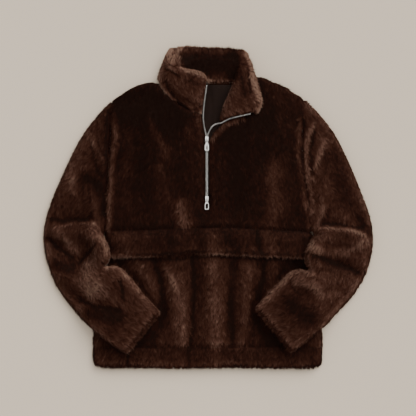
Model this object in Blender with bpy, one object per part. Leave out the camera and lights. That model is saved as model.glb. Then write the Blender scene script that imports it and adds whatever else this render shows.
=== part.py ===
"""Faux fur half-zip pullover, laid flat and face up.

Built the way the garment is made: back pieces on the surface, front pieces on
them, a loose band over a gathered lower tier, two sleeve tubes bent at the
elbow with their cuffs on the lower tier, a doubled stand collar whose right
half is turned out, a neck lining, and a two-way zip with two pulls.

Tables are in millimetres. X runs to the viewer's right, Y from hem to collar,
Z up from the surface. A wall is the backing and its pile together.
"""

import bpy
import bmesh
from math import cos, exp, pi, radians, sin, sqrt
from mathutils import Vector

MM = 0.001

# Cloth walls and the levels at which they lie
WALL = 11.0
BACK_TOP = WALL
FRONT_UNDER = 14.0
FRONT_TOP = FRONT_UNDER + WALL
BAND_RISE = 12.8
SEAM_GAP = 0.4
EDGE_ROUND = 6.0
SIDE_ROUND = 13.0
UNDER_ROUND = 10.0
EDGE_SHARE = 0.34
SIDE_WRAP = 11.0
TIER_TUCK = 14.5
CHEST_CROWN = 3.0

EDGE_STEPS = (0.0, 2.5, 9.0)
NECK_STEPS = (0.0, 2.0, 6.0, 13.0)
HALF_WIDTH = 235.0
BACK_HALF = 228.0

# Rolled side edge of a front piece: inset of top, height of top, inset of
# underside, height of underside
WRAP_ROWS = (
    (0.0, 10.0, 3.0, 0.9),
    (1.4, 17.0, 9.3, 0.9),
    (6.0, 22.3, 9.9, 9.0),
    (13.0, 24.6, 13.0, 13.6),
)

# Lines across the body
SLIT_END_Y = 7.0
TIER_TOP_Y = -76.0
HEM_SEAM_Y = -335.5

# Side edges of the body: y, left x, right x
BODY_SIDES = (
    (300.0, -226.0, 226.0),
    (256.0, -230.0, 228.0),
    (176.0, -233.4, 225.0),
    (116.0, -236.7, 226.4),
    (39.0, -240.8, 233.2),
    (-17.0, -244.2, 240.6),
    (-57.0, -247.0, 247.0),
    (-118.0, -243.0, 245.0),
    (-200.0, -255.0, 254.0),
    (-291.0, -274.0, 271.0),
    (-336.0, -276.0, 273.0),
    (-372.0, -275.0, 272.0),
    (-384.0, -268.0, 266.0),
)

# Seam between bodice and band, and the band's loose lower edge: x, seam y, edge y
BAND_LINES = (
    (-250.0, -58.0, -118.5),
    (-119.0, -51.0, -114.0),
    (-30.0, -48.5, -108.0),
    (52.0, -47.0, -110.0),
    (124.0, -51.5, -114.0),
    (250.0, -59.5, -118.5),
)

# Shoulder and neck line of each front half, and the zip's left side: x, y
LEFT_TOP_LINE = (
    (-230.0, 254.0),
    (-212.0, 267.0),
    (-168.0, 292.0),
    (-123.0, 303.0),
    (-110.0, 279.0),
    (-91.0, 256.0),
    (-69.0, 244.0),
    (-42.0, 227.5),
    (-17.0, 222.5),
)
RIGHT_TOP_LINE = (
    (2.8, 163.0),
    (8.0, 172.0),
    (15.0, 182.0),
    (24.0, 190.0),
    (34.0, 196.5),
    (44.0, 203.0),
    (49.5, 213.0),
    (56.0, 230.0),
    (65.0, 250.0),
    (74.0, 272.0),
    (82.0, 290.0),
    (92.0, 312.0),
    (115.0, 314.0),
    (157.0, 300.0),
    (201.0, 278.0),
    (228.0, 258.0),
)
BACK_TOP_LINE = (
    (-230.0, 254.0),
    (-212.0, 267.0),
    (-168.0, 291.0),
    (-128.0, 299.0),
    (-100.0, 296.0),
    (0.0, 296.0),
    (92.0, 296.0),
    (115.0, 308.0),
    (157.0, 299.0),
    (201.0, 277.0),
    (228.0, 257.0),
)

# Zip: its line, slit and metal parts
ZIP_X = -2.7
SLIT_HALF = 5.5
SLIT_LEFT = (
    (0.0, ZIP_X - SLIT_HALF),
    (150.0, ZIP_X - SLIT_HALF),
    (178.0, -12.0),
    (200.0, -16.0),
    (230.0, -17.0),
)

# Soft folds: x0, y0, x1, y1, half width, height
SKIRT_FOLDS = (
    (-211, -118, -208, -150, 10, -5),
    (-162, -125, -125, -211, 15, 5),
    (-127, -100, -111, -196, 10, -6),
    (-111, -196, -107, -262, 10, -6),
    (-92, -120, -63, -225, 17, 5.5),
    (-63, -225, -70, -330, 17, 5),
    (-34, -100, -30, -224, 10, -6.5),
    (-30, -224, -41, -340, 10, -6),
    (11, -118, 7, -240, 18, 5.5),
    (7, -240, 0, -330, 18, 4),
    (70, -100, 59, -225, 10, -6.5),
    (59, -225, 58, -340, 10, -6),
    (88, -118, 80, -240, 13, 5),
    (132, -100, 121, -215, 10, -6),
    (158, -120, 150, -250, 16, 5),
    (222, -118, 215, -165, 15, -5.5),
)
BODICE_FOLDS = (
    (-205, 225, -215, 20, 20, 2.5),
    (-172, 210, -176, 60, 18, -2.5),
    (-120, 190, -128, 0, 22, 2),
    (-60, 150, -66, -30, 20, -2),
    (60, 120, 66, -30, 22, -2),
    (118, 190, 124, 10, 22, 2),
    (170, 210, 172, 50, 18, -2.5),
    (203, 150, 214, 10, 18, 2.5),
)
PULL_DENT = ((-2.7, 14, -2.7, -16, 14, -11),)

# Sleeves: outer x, y, inner x, y, climb on to the body, bow of the row towards
# the body, rings to the next row
LEFT_SLEEVE = (
    (-230.5, 254, -247, -55, 0.0, 0, 2),
    (-256, 229, -249, -57, 0.0, 0, 1),
    (-295, 182, -250, -59, 0.0, 0, 1),
    (-323, 132, -251, -61, 0.0, 0, 1),
    (-350, 72, -252, -63, 0.0, 0, 2),
    (-373, 20, -253, -65, 0.2, 0, 2),
    (-389, -30, -253, -68, 0.5, 0, 3),
    (-394, -73, -247, -77, 0.85, 0, 3),
    (-389, -116, -237, -96, 1.0, 0, 3),
    (-375, -164, -237, -123, 1.0, 0, 3),
    (-358, -198, -249, -141, 1.0, 0, 2),
    (-338, -228, -236, -142, 1.0, 0, 2),
    (-311, -259, -214, -143, 1.0, 0, 2),
    (-276, -291, -190, -163, 1.0, 0, 1),
    (-236, -323, -158, -205, 1.0, 0, 1),
    (-196, -348, -116, -250, 1.0, 0, 1),
)
RIGHT_SLEEVE = (
    (228.5, 258, 247, -56, 0.0, 9, 2),
    (256, 233, 249, -58, 0.0, 7, 1),
    (295, 187, 250, -60, 0.0, 4, 1),
    (321, 140, 252, -62, 0.0, 0, 1),
    (345, 86, 253, -64, 0.0, 0, 2),
    (369, 26, 254, -66, 0.2, 0, 2),
    (388, -28, 254, -69, 0.5, 0, 3),
    (394, -75, 246, -79, 0.85, 0, 3),
    (390, -114, 235, -99, 1.0, 0, 3),
    (378, -157, 232, -125, 1.0, 0, 3),
    (358, -194, 240, -151, 1.0, 0, 2),
    (338, -222, 222, -149, 1.0, 0, 2),
    (306, -254, 200, -153, 1.0, 0, 2),
    (270, -289, 182, -167, 1.0, 0, 1),
    (236, -316, 150, -199, 1.0, 0, 1),
    (200, -344, 114, -239, 1.0, 0, 1),
)
LEFT_SLEEVE_FOLDS = (
    (-278, 165, -240, 67, 15, 6),
    (-289, 39, -264, -24, 15, 7),
    (-262, 40, -253, -34, 9, -6),
    (-385, -34, -276, -28, 12, -8),
    (-362, -64, -280, -58, 20, 16),
    (-270, -62, -258, -100, 17, 12),
    (-258, -100, -256, -124, 16, 12),
    (-386, -70, -348, -97, 12, -8),
    (-348, -97, -310, -130, 13, -11),
    (-310, -130, -272, -90, 11, -12),
    (-345, -165, -222, -180, 25, 13),
    (-290, -140, -225, -160, 18, 6),
    (-310, -219, -238, -233, 11, -8),
    (-238, -233, -208, -232, 10, -7),
    (-206, -226, -203, -190, 10, -7),
)
RIGHT_SLEEVE_FOLDS = (
    (273, 165, 240, 66, 14, 6),
    (284, 75, 266, -24, 20, 9),
    (252, 58, 256, -34, 9, -6),
    (353, -37, 385, -40, 12, -9),
    (276, -40, 350, -41, 10, -6),
    (276, -68, 368, -78, 20, 15),
    (264, -78, 254, -112, 17, 12),
    (254, -112, 258, -134, 15, 10),
    (262, -112, 304, -130, 11, -11),
    (304, -130, 368, -153, 12, -9),
    (212, -172, 330, -180, 23, 12),
    (207, -184, 227, -208, 10, -7),
    (227, -208, 265, -225, 11, -7),
    (258, -158, 249, -180, 8, -5),
)
SLEEVE_HOLLOW = 2.0
DEEPEST_FOLD = -7.0
FOLD_REACH = 8.0
CLIMB_OUTSIDE = 72.0
CLIMB_INSIDE = 8.0
REST_ON_BAND = 38.5
REST_ON_TIER = 33.0

# Collar stations from the left front edge round the back to the right front
# edge. Each row: seam x, y, z, roll x, y, z, face x, y, z, rim x, y, z
COLLAR = (
    (-17, 226.5, 19.5, -15, 248, 26, -11, 278, 31, -8, 302, 31),
    (-27, 229.5, 19.5, -25, 252, 29, -22, 284, 36, -19, 314, 34),
    (-43, 233.5, 19.5, -44, 258, 30, -46, 290, 38, -46, 319, 36),
    (-69, 250.5, 19.5, -66, 270, 29, -66, 298, 38, -65, 323, 37),
    (-89, 261.5, 19.5, -82, 283, 29, -79, 312, 38, -76, 340, 37),
    (-107, 284, 19.5, -97, 305, 31, -88, 332, 36, -80, 357, 36),
    (-119, 306, 17, -109, 327, 21, -100, 348, 23, -90, 369, 23),
    (-108, 303, 8, -97, 328, 9, -88, 349, 9.5, -78, 372, 10),
    (-80, 299, 9.5, -75, 325, 10, -68, 350, 10, -61, 376, 11),
    (-40, 298, 9.5, -38, 325, 10, -35, 350, 10, -31, 374, 11),
    (0, 298, 9.5, 0, 325, 10, 0, 350, 10, 0, 372, 11),
    (38, 298, 9.5, 39, 325, 10, 40, 349, 11, 42, 371, 13),
    (62, 298.5, 10.5, 66, 322, 12, 71, 345, 15, 76, 367, 19),
    (72, 299, 14, 75, 318, 23, 82, 338, 28, 90, 356, 29),
    (72, 288, 18, 69, 300, 34, 85, 314, 39, 99, 326, 37),
    (64, 270, 18, 61, 280, 35, 86, 288, 40.5, 109, 294, 38),
    (54, 248, 18, 52, 257, 36, 84, 264, 40.5, 115, 268, 38),
    (44, 229, 18, 43, 237, 36, 80, 244, 40.5, 118, 248, 38),
    (32, 204, 18, 41, 210, 33, 76, 218.5, 38.5, 110, 226, 37),
)
COLLAR_WALL = 16.6
COLLAR_RIM_REACH = 9.0
COLLAR_SEAM_WALL = 11.0
COLLAR_HIGH = 90.0
COLLAR_RIM_ROUND = 9.0
COLLAR_BEND = 5.4
COLLAR_PINCH = 0.65
COLLAR_TURN = 12.5
COLLAR_ACROSS = (0.0, 0.12, 0.25, 0.38, 0.56, 0.76, 0.93, 1.0)
COLLAR_CREASE = 0.26
COLLAR_CREASE_DEPTH = 5.0

# Zip sides: x of the teeth's meeting edge, y, z of the tape's underside, tape width
ZIP_LEFT = (
    (-2.9, 8.6, 12.8, 9.0),
    (-2.9, 60.0, 12.8, 9.0),
    (-2.9, 110.0, 12.8, 9.0),
    (-2.9, 150.0, 12.8, 9.0),
    (-2.9, 169.0, 12.8, 8.0),
    (-5.6, 183.0, 12.8, 5.0),
    (-8.8, 199.0, 14.5, 1.2),
    (-10.0, 214.0, 17.0, 0.6),
    (-9.6, 228.0, 20.5, 0.6),
    (-7.4, 250.0, 24.5, 0.6),
    (-3.6, 276.0, 28.6, 0.6),
    (-1.4, 292.0, 29.6, 0.6),
)
ZIP_RIGHT = (
    (-2.5, 8.6, 12.8, 9.0),
    (-2.5, 60.0, 12.8, 9.0),
    (-2.5, 110.0, 12.8, 9.0),
    (-2.5, 150.0, 12.8, 9.0),
    (-2.5, 169.0, 12.8, 6.0),
    (2.2, 182.0, 14.2, 1.2),
    (10.0, 194.0, 18.0, 0.6),
    (20.0, 199.5, 22.6, 0.6),
    (33.0, 202.3, 27.4, 0.6),
    (50.0, 210.8, 33.0, 0.6),
    (76.0, 217.3, 36.6, 0.6),
    (101.0, 222.8, 36.4, 0.6),
)
TOOTH_WIDTH = 3.0
TOOTH_HEIGHT = 2.8
TAPE_THICK = 0.9

# Sliders and pulls
SLIDER_WIDTH = 8.8
SLIDER_LONG = 10.5
SLIDER_PLATE_Z = 16.1
SLIDER_PLATE = 1.3
BRIDGE_WIDE = 2.2
BRIDGE_LONG = 7.4
BRIDGE_HIGH = 5.6
BRIDGE_BAR = 1.1
PULL_THICK = 1.5
PULL_HINGE_Z = SLIDER_PLATE_Z + SLIDER_PLATE + 2.9
UPPER_SLIDER_Y = 163.0
LOWER_SLIDER_Y = 20.0
# Pulls: hinge y, length, width at the hinge end, width at the free end
UPPER_PULL = (161.4, 28.0, 7.6, 10.4)
LOWER_PULL = (18.4, 26.2, 7.2, 10.0)


def soft_step(share):
    """Smooth rise from 0 to 1."""
    share = min(max(share, 0.0), 1.0)
    return share * share * (3.0 - 2.0 * share)


def read(table, key, column=1):
    """Value of a column of a table whose first column runs one way."""
    rows = sorted(table)
    if key <= rows[0][0]:
        return rows[0][column]
    for low, high in zip(rows, rows[1:]):
        if key <= high[0]:
            share = (key - low[0]) / (high[0] - low[0])
            return low[column] + share * (high[column] - low[column])
    return rows[-1][column]


def smooth_row(rows, place):
    """Row at a fractional place, on a smooth curve through all rows."""
    last = len(rows) - 1
    index = min(int(place), last - 1)
    t = place - index
    before = rows[max(index - 1, 0)]
    start = rows[index]
    end = rows[index + 1]
    after = rows[min(index + 2, last)]
    result = []
    for a, b, c, d in zip(before, start, end, after):
        bend = (2 * a - 5 * b + 4 * c - d) * t * t + (3 * b - a - 3 * c + d) * t * t * t
        result.append(b + 0.5 * ((c - a) * t + bend))
    return result


def folds_at(folds, x, y):
    """Height that a table of soft ridges and troughs adds at a place."""
    total = 0.0
    for x0, y0, x1, y1, half_width, height in folds:
        along_x = x1 - x0
        along_y = y1 - y0
        share = ((x - x0) * along_x + (y - y0) * along_y) / (along_x ** 2 + along_y ** 2)
        share = min(max(share, 0.0), 1.0)
        gap = sqrt((x - x0 - share * along_x) ** 2 + (y - y0 - share * along_y) ** 2)
        total += height * exp(-(gap / half_width) ** 2)
    return total


def edge_share(distance):
    """Share of the wall's half thickness left at a distance from its edge."""
    reach = min(max(distance, 0.0), EDGE_ROUND) / EDGE_ROUND
    return EDGE_SHARE + (1.0 - EDGE_SHARE) * sqrt(1.0 - (1.0 - reach) ** 2)


def material(name, colour, roughness, metallic=0.0):
    made = bpy.data.materials.new(name)
    made.use_nodes = True
    shader = made.node_tree.nodes["Principled BSDF"]
    shader.inputs["Base Color"].default_value = (*colour, 1.0)
    shader.inputs["Roughness"].default_value = roughness
    shader.inputs["Metallic"].default_value = metallic
    return made


def finish(name, bm, finish_material, sharp=60.0):
    """One closed object, its faces out and its round faces smooth."""
    bmesh.ops.recalc_face_normals(bm, faces=bm.faces)
    mesh = bpy.data.meshes.new(name)
    bm.to_mesh(mesh)
    bm.free()
    mesh.materials.append(finish_material)
    mesh.shade_smooth()
    mesh.set_sharp_from_angle(angle=radians(sharp))
    made = bpy.data.objects.new(name, mesh)
    bpy.context.scene.collection.objects.link(made)
    return made


def sheet(name, top, under, finish_material, left_out=()):
    """Closed wall between two grids of points. left_out lists missing cells."""
    bm = bmesh.new()
    rows = len(top)
    columns = len(top[0])
    present = set()
    for r in range(rows - 1):
        for c in range(columns - 1):
            if (r, c) not in left_out:
                present.add((r, c))
    sides = ({}, {})
    for side, grid in zip(sides, (top, under)):
        for r, c in sorted(present):
            for corner in ((r, c), (r, c + 1), (r + 1, c + 1), (r + 1, c)):
                if corner not in side:
                    point = grid[corner[0]][corner[1]]
                    side[corner] = bm.verts.new(Vector(point) * MM)
    upper, lower = sides
    for r, c in sorted(present):
        loop = ((r, c), (r + 1, c), (r + 1, c + 1), (r, c + 1))
        bm.faces.new([upper[key] for key in loop])
        bm.faces.new([lower[key] for key in reversed(loop)])
        neighbours = ((r, c - 1), (r + 1, c), (r, c + 1), (r - 1, c))
        for index, neighbour in enumerate(neighbours):
            if neighbour not in present:
                a = loop[index]
                b = loop[(index + 1) % 4]
                bm.faces.new((upper[a], lower[a], lower[b], upper[b]))
    return finish(name, bm, finish_material)


def spaced(length, ends, inner):
    """Places along a length: close together at both ends, even between."""
    start = ends[-1]
    step = (length - 2.0 * start) / (inner + 1)
    places = list(ends)
    places += [start + step * (index + 1) for index in range(inner)]
    places += [length - end for end in reversed(ends)]
    return places


def front_point(x, y, level, share, fold):
    """Top and underside points of a front wall."""
    middle = level + 0.5 * WALL
    half = 0.5 * WALL * share
    low = middle - half + max(fold, 0.0)
    high = max(middle + half + fold, low + 2.0)
    return (x, y, high), (x, y, low)


def row_labels(inner_rows):
    """Rows of a panel: steps from the top edge, even shares, steps from the bottom."""
    labels = [("top", step) for step in EDGE_STEPS]
    labels += [("share", (i + 1) / (inner_rows + 1)) for i in range(inner_rows)]
    labels += [("bottom", step) for step in reversed(EDGE_STEPS)]
    return labels


def row_distance(label, length):
    """Distance below the top edge at which a labelled row lies."""
    kind, value = label
    if kind == "top":
        return value
    if kind == "bottom":
        return length - value
    start = EDGE_STEPS[-1]
    return start + value * (length - 2.0 * start)


def tier_tuck(y):
    """How far the tier's sides are tucked in where the band covers it."""
    return TIER_TUCK * (1.0 - soft_step((-119.0 - y) / 12.0))


def no_tuck(y):
    return 0.0


def wrapped_panel(name, top_y, bottom_y, tuck, rise, fold_at, fabric, inner_rows, inner_columns):
    """Front piece whose side edges roll down to the surface.

    tuck gives how far its sides lie inside the body's, rise how far it is
    raised at a distance below its top edge, fold_at its folds."""
    columns = [(-1, row) for row in WRAP_ROWS]
    columns += [(0, (i + 1) / (inner_columns + 1)) for i in range(inner_columns)]
    columns += [(1, row) for row in reversed(WRAP_ROWS)]
    middle_y = 0.5 * (top_y(0.0) + bottom_y(0.0))

    def place(column, y, inset_column):
        side, value = column
        left = read(BODY_SIDES, y, 1) + tuck(y)
        right = read(BODY_SIDES, y, 2) - tuck(y)
        if side < 0:
            return left + value[inset_column]
        if side > 0:
            return right - value[inset_column]
        start = left + WRAP_ROWS[-1][0]
        return start + value * (right - WRAP_ROWS[-1][0] - start)

    tops = []
    unders = []
    for label in row_labels(inner_rows):
        top_row = []
        under_row = []
        for column in columns:
            probe = place(column, middle_y, 0)
            length = top_y(probe) - bottom_y(probe)
            down = row_distance(label, length)
            y = top_y(probe) - down
            share = edge_share(down) * edge_share(length - down)
            raised = rise(down)
            x = place(column, y, 0)
            if column[0] == 0:
                near = min(x - place(columns[0], y, 0), place(columns[-1], y, 0) - x)
                fold = fold_at(x, y) * soft_step((near - 13.0) / 25.0)
                high, low = front_point(x, y, FRONT_UNDER + raised, share, fold)
            else:
                row = column[1]
                middle = 0.5 * (row[1] + row[3])
                lifted = raised * row[3] / FRONT_UNDER
                top_z = middle + (row[1] - middle) * share + raised * row[1] / FRONT_TOP
                high = (x, y, top_z)
                low_z = middle - (middle - row[3]) * share + lifted
                low = (place(column, y, 2), y, low_z)
            top_row.append(high)
            under_row.append(low)
        tops.append(top_row)
        unders.append(under_row)
    return sheet(name, tops, unders, fabric)


def band_seam_y(x):
    return read(BAND_LINES, x, 1)


def band_edge_y(x):
    return read(BAND_LINES, x, 2)


def hem_bottom_y(x):
    """The hem's lower edge, with rounded corners."""
    corner = max(abs(x) - 245.0, 0.0) / 30.0
    return -384.0 + 5.0 * corner * corner + 0.8 * sin(x / 41.0)


def hem_seam_y(x):
    return HEM_SEAM_Y + 0.004 * x


def build_front_bodice(fabric):
    """Front with shoulder, neck line and the zip's slit, in one piece."""
    sides = []
    for left_half in (True, False):
        line = LEFT_TOP_LINE if left_half else RIGHT_TOP_LINE
        column_side = 1 if left_half else 2

        def slit_x(y, left_half=left_half):
            if left_half:
                return read(SLIT_LEFT, y)
            return ZIP_X + SLIT_HALF

        shares = []
        for x, y in line:
            edge = read(BODY_SIDES, y, column_side)
            shares.append(((x - slit_x(y)) / (edge - slit_x(y)), y))
        sides.append((slit_x, column_side, sorted(shares)))
    top_steps = NECK_STEPS
    width = HALF_WIDTH
    places = spaced(width, EDGE_STEPS, 7)
    left_shares = [1.0 - place / width for place in places]
    right_shares = [place / width for place in places]
    upper_rows = 8
    lower_rows = 2
    tops = []
    unders = []
    slit_cells = []
    row_total = len(top_steps) + upper_rows + lower_rows + 1 + len(EDGE_STEPS)
    for row in range(row_total):
        top_row = []
        under_row = []
        for half, shares in ((0, left_shares), (1, right_shares)):
            slit_x, column_side, top_line = sides[half]
            for share in shares:
                start = read(top_line, share)
                x_low = slit_x(0.0) + share * (read(BODY_SIDES, -57.0, column_side) - slit_x(0.0))
                end = band_seam_y(x_low) + SEAM_GAP
                if row < len(top_steps):
                    y = start - top_steps[row]
                elif row <= len(top_steps) + upper_rows:
                    part = (row - len(top_steps) + 1) / (upper_rows + 1)
                    y = start - NECK_STEPS[-1] + part * (SLIT_END_Y - start + NECK_STEPS[-1])
                elif row < row_total - len(EDGE_STEPS):
                    part = (row - len(top_steps) - upper_rows) / (lower_rows + 1)
                    y = SLIT_END_Y + part * (end + EDGE_STEPS[-1] - SLIT_END_Y)
                else:
                    y = end + EDGE_STEPS[row_total - 1 - row]
                slit = slit_x(y)
                edge = read(BODY_SIDES, y, column_side)
                inside_edge = (1.0 - share) * width
                from_slit = share * width
                x = slit + share * (edge - slit)
                from_edge = edge_share(inside_edge)
                from_ends = edge_share(start - y) * edge_share(y - end)
                fold = folds_at(BODICE_FOLDS + PULL_DENT, x, y)
                fold += CHEST_CROWN * soft_step(inside_edge / 120.0)
                if y >= SLIT_END_Y - 0.01:
                    parting = 1.0 - soft_step(from_slit / 14.0)
                    fold -= 6.5 * parting * (1.0 if y > SLIT_END_Y else 0.9)
                    fold = min(fold, 20.0)
                share_left = max(from_edge * from_ends, 0.22)
                high, low = front_point(x, y, FRONT_UNDER, share_left, fold)
                top_row.append(high)
                under_row.append(low)
        tops.append(top_row)
        unders.append(under_row)
        if row < len(top_steps) + upper_rows:
            slit_cells.append((row, len(left_shares) - 1))
    return sheet("front_bodice", tops, unders, fabric, slit_cells)


def build_front_lower(fabric):
    """Gathered tier, its hem band, and the loose band over the tier's top."""
    def level(down):
        return 0.0

    def over_tier(down):
        return BAND_RISE * soft_step((down - 3.0) / 12.0)

    def tier_top(x):
        return TIER_TOP_Y

    def hem_top(x):
        return hem_seam_y(x) - SEAM_GAP

    def tier_fold(x, y):
        free = soft_step((band_edge_y(x) - 10.0 - y) / 14.0)
        return min(folds_at(SKIRT_FOLDS, x, y), 1.0 + 9.0 * free)

    def no_fold(x, y):
        return 0.0

    wrapped_panel("front_tier", tier_top, hem_seam_y, tier_tuck, level, tier_fold, fabric, 7, 30)
    wrapped_panel("front_hem", hem_top, hem_bottom_y, no_tuck, level, tier_fold, fabric, 1, 16)
    wrapped_panel("front_band", band_seam_y, band_edge_y, no_tuck, over_tier, no_fold, fabric, 2, 14)


def back_panel(name, top_y, bottom_y, inset, fabric, inner_rows, inner_columns):
    """Back piece: a wall that lies flat on the surface."""
    tops = []
    unders = []
    for label in row_labels(inner_rows):
        top_row = []
        under_row = []
        for place in spaced(1.0, (0.0, 0.014), inner_columns):
            probe = BACK_HALF * (2.0 * place - 1.0)
            length = top_y(probe) - bottom_y(probe)
            down = row_distance(label, length)
            y = top_y(probe) - down
            left = read(BODY_SIDES, y, 1) + inset(y)
            right = read(BODY_SIDES, y, 2) - inset(y)
            near = min(place, 1.0 - place) * (right - left)
            x = left + place * (right - left)
            share = max(edge_share(near) * edge_share(down) * edge_share(length - down), 0.25)
            half = 0.5 * WALL * share
            top_row.append((x, y, 0.5 * WALL + half))
            under_row.append((x, y, 0.5 * WALL - half))
        tops.append(top_row)
        unders.append(under_row)
    return sheet(name, tops, unders, fabric)


def build_back(fabric):
    def shoulder(x):
        return read(BACK_TOP_LINE, x)

    def straight(y):
        def line(x):
            return y
        return line

    def wrapped_inset(y):
        return SIDE_WRAP + tier_tuck(y + 22.0)

    def hem_top(x):
        return hem_seam_y(x) - SEAM_GAP

    back_panel("back_bodice", shoulder, straight(-55.0), no_tuck, fabric, 5, 9)
    back_panel("back_band", straight(-55.4), straight(-115.0), wrapped_inset, fabric, 0, 6)
    back_panel("back_tier", straight(-115.4), hem_seam_y, wrapped_inset, fabric, 3, 6)
    back_panel("back_hem", hem_top, hem_bottom_y, wrapped_inset, fabric, 0, 6)


def lowest_fold(folds, x, y):
    """Lowest fold height close to a place, for the inside of a wall."""
    reach = FOLD_REACH
    around = ((0, 0), (reach, 0), (-reach, 0), (0, reach), (0, -reach))
    return min(folds_at(folds, x + dx, y + dy) for dx, dy in around)


def rest_level(x, y, side, climb):
    """Height on which a sleeve lies: the surface, or the body it crosses."""
    edge = abs(read(BODY_SIDES, y, 1 if side < 0 else 2))
    inside = edge - abs(x)
    ramp = soft_step((inside + CLIMB_OUTSIDE) / (CLIMB_OUTSIDE + CLIMB_INSIDE))
    off_band = soft_step((-118.0 - y) / 40.0)
    body = REST_ON_BAND + off_band * (REST_ON_TIER - REST_ON_BAND)
    return climb * ramp * body


def sleeve_ring(row, folds, side):
    """Outer and inner ring of points of the flattened tube at one row."""
    outer_x, outer_y, inner_x, inner_y, climb, bow = row[:6]
    way = -1.0 if side > 0 else 1.0
    across = sqrt((inner_x - outer_x) ** 2 + (inner_y - outer_y) ** 2)
    full = 2.0 * WALL + SLEEVE_HOLLOW
    steps = [(0.0, 0)]
    steps += [(2.2, 1), (7.0, 1)]
    between = [14.0 + (across - 28.0) * i / 8.0 for i in range(9)]
    steps += [(place, 1) for place in between]
    steps += [(across - 7.0, 1), (across - 2.2, 1), (across, 0), (across - 2.5, -1)]
    steps += [(place, -1) for place in reversed(between)]
    steps += [(2.5, -1)]
    outside = []
    inside = []
    for place, level in steps:
        share = place / across
        x = outer_x + share * (inner_x - outer_x) + way * bow * sin(pi * share)
        y = outer_y + share * (inner_y - outer_y)
        base = rest_level(x, y, side, climb)
        near = min(place, across - place)
        fold = folds_at(folds, x, y) * soft_step(near / 22.0)
        fold = max(fold, DEEPEST_FOLD)
        if level > 0:
            round_share = sqrt(1.0 - (1.0 - min(near, SIDE_ROUND) / SIDE_ROUND) ** 2)
            z = 0.5 * full + 0.5 * full * round_share + fold
        elif level < 0:
            round_share = sqrt(1.0 - (1.0 - min(near, UNDER_ROUND) / UNDER_ROUND) ** 2)
            z = 0.5 * full * (1.0 - round_share)
        else:
            z = 0.5 * full
        outside.append(Vector((x, y, base + z)))
        inner_place = WALL + (across - 2.0 * WALL) * share
        inner_share = inner_place / across
        x = outer_x + inner_share * (inner_x - outer_x) + way * bow * sin(pi * inner_share)
        y = outer_y + inner_share * (inner_y - outer_y)
        base = rest_level(x, y, side, climb)
        near = min(inner_place, across - inner_place)
        fold = max(lowest_fold(folds, x, y) * soft_step((near - WALL) / 22.0), -0.8)
        if level > 0:
            z = 0.5 * full + 0.5 * SLEEVE_HOLLOW * soft_step((near - WALL) / 3.0 + 0.3) + fold
        elif level < 0:
            z = 0.5 * full - 0.5 * SLEEVE_HOLLOW * soft_step((near - WALL) / 3.0 + 0.3)
        else:
            z = 0.5 * full
        inside.append(Vector((x, y, base + z)))
    return outside, inside


def build_sleeve(name, rows, folds, side, fabric):
    """Tube from armhole to cuff, open at both ends, bent at the elbow."""
    places = [0.0, 0.06, 0.22]
    for index, row in enumerate(rows[:-1]):
        for step in range(row[6]):
            place = index + step / row[6]
            if 0.3 < place < len(rows) - 1.6:
                places.append(place)
    last = len(rows) - 1.0
    places += [last - 0.5, last - 0.16, last - 0.05, last]
    shrink = {0.0: 0.38, 0.06: 0.75, last: 0.38, last - 0.05: 0.78}
    bm = bmesh.new()
    rings = []
    for place in places:
        outside, inside = sleeve_ring(smooth_row(rows, place), folds, side)
        keep = shrink.get(place, 1.0)
        outer_ring = []
        inner_ring = []
        for out, inn in zip(outside, inside):
            middle = 0.5 * (out + inn)
            outer_ring.append(bm.verts.new((middle + keep * (out - middle)) * MM))
            inner_ring.append(bm.verts.new((middle + keep * (inn - middle)) * MM))
        rings.append((outer_ring, inner_ring))
    count = len(rings[0][0])
    for index in range(count):
        after = (index + 1) % count
        for (out_a, in_a), (out_b, in_b) in zip(rings, rings[1:]):
            bm.faces.new((out_a[index], out_a[after], out_b[after], out_b[index]))
            bm.faces.new((in_a[after], in_a[index], in_b[index], in_b[after]))
        for outer_ring, inner_ring in (rings[0], rings[-1]):
            bm.faces.new((outer_ring[index], outer_ring[after], inner_ring[after], inner_ring[index]))
    return finish(name, bm, fabric)


def collar_point(station, across):
    """Point of the collar's middle surface."""
    row = smooth_row(COLLAR, station)
    points = [row[index:index + 3] for index in (0, 3, 6, 9)]
    rim = Vector(points[3])
    rim += COLLAR_RIM_REACH * (rim - Vector(points[2])).normalized()
    points[3] = rim
    x, y, z = smooth_row(points, across * 3.0)
    left_half = soft_step((5.5 - station) / 1.5)
    z -= COLLAR_CREASE_DEPTH * left_half * exp(-((across - COLLAR_CREASE) / 0.075) ** 2)
    return Vector((x, y, z))


def collar_normal(station, across):
    step = 0.02
    last = len(COLLAR) - 1.0
    along = collar_point(min(station + step, last), across)
    along -= collar_point(max(station - step, 0.0), across)
    up = collar_point(station, min(across + step, 1.0))
    up -= collar_point(station, max(across - step, 0.0))
    return up.cross(along).normalized()


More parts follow.
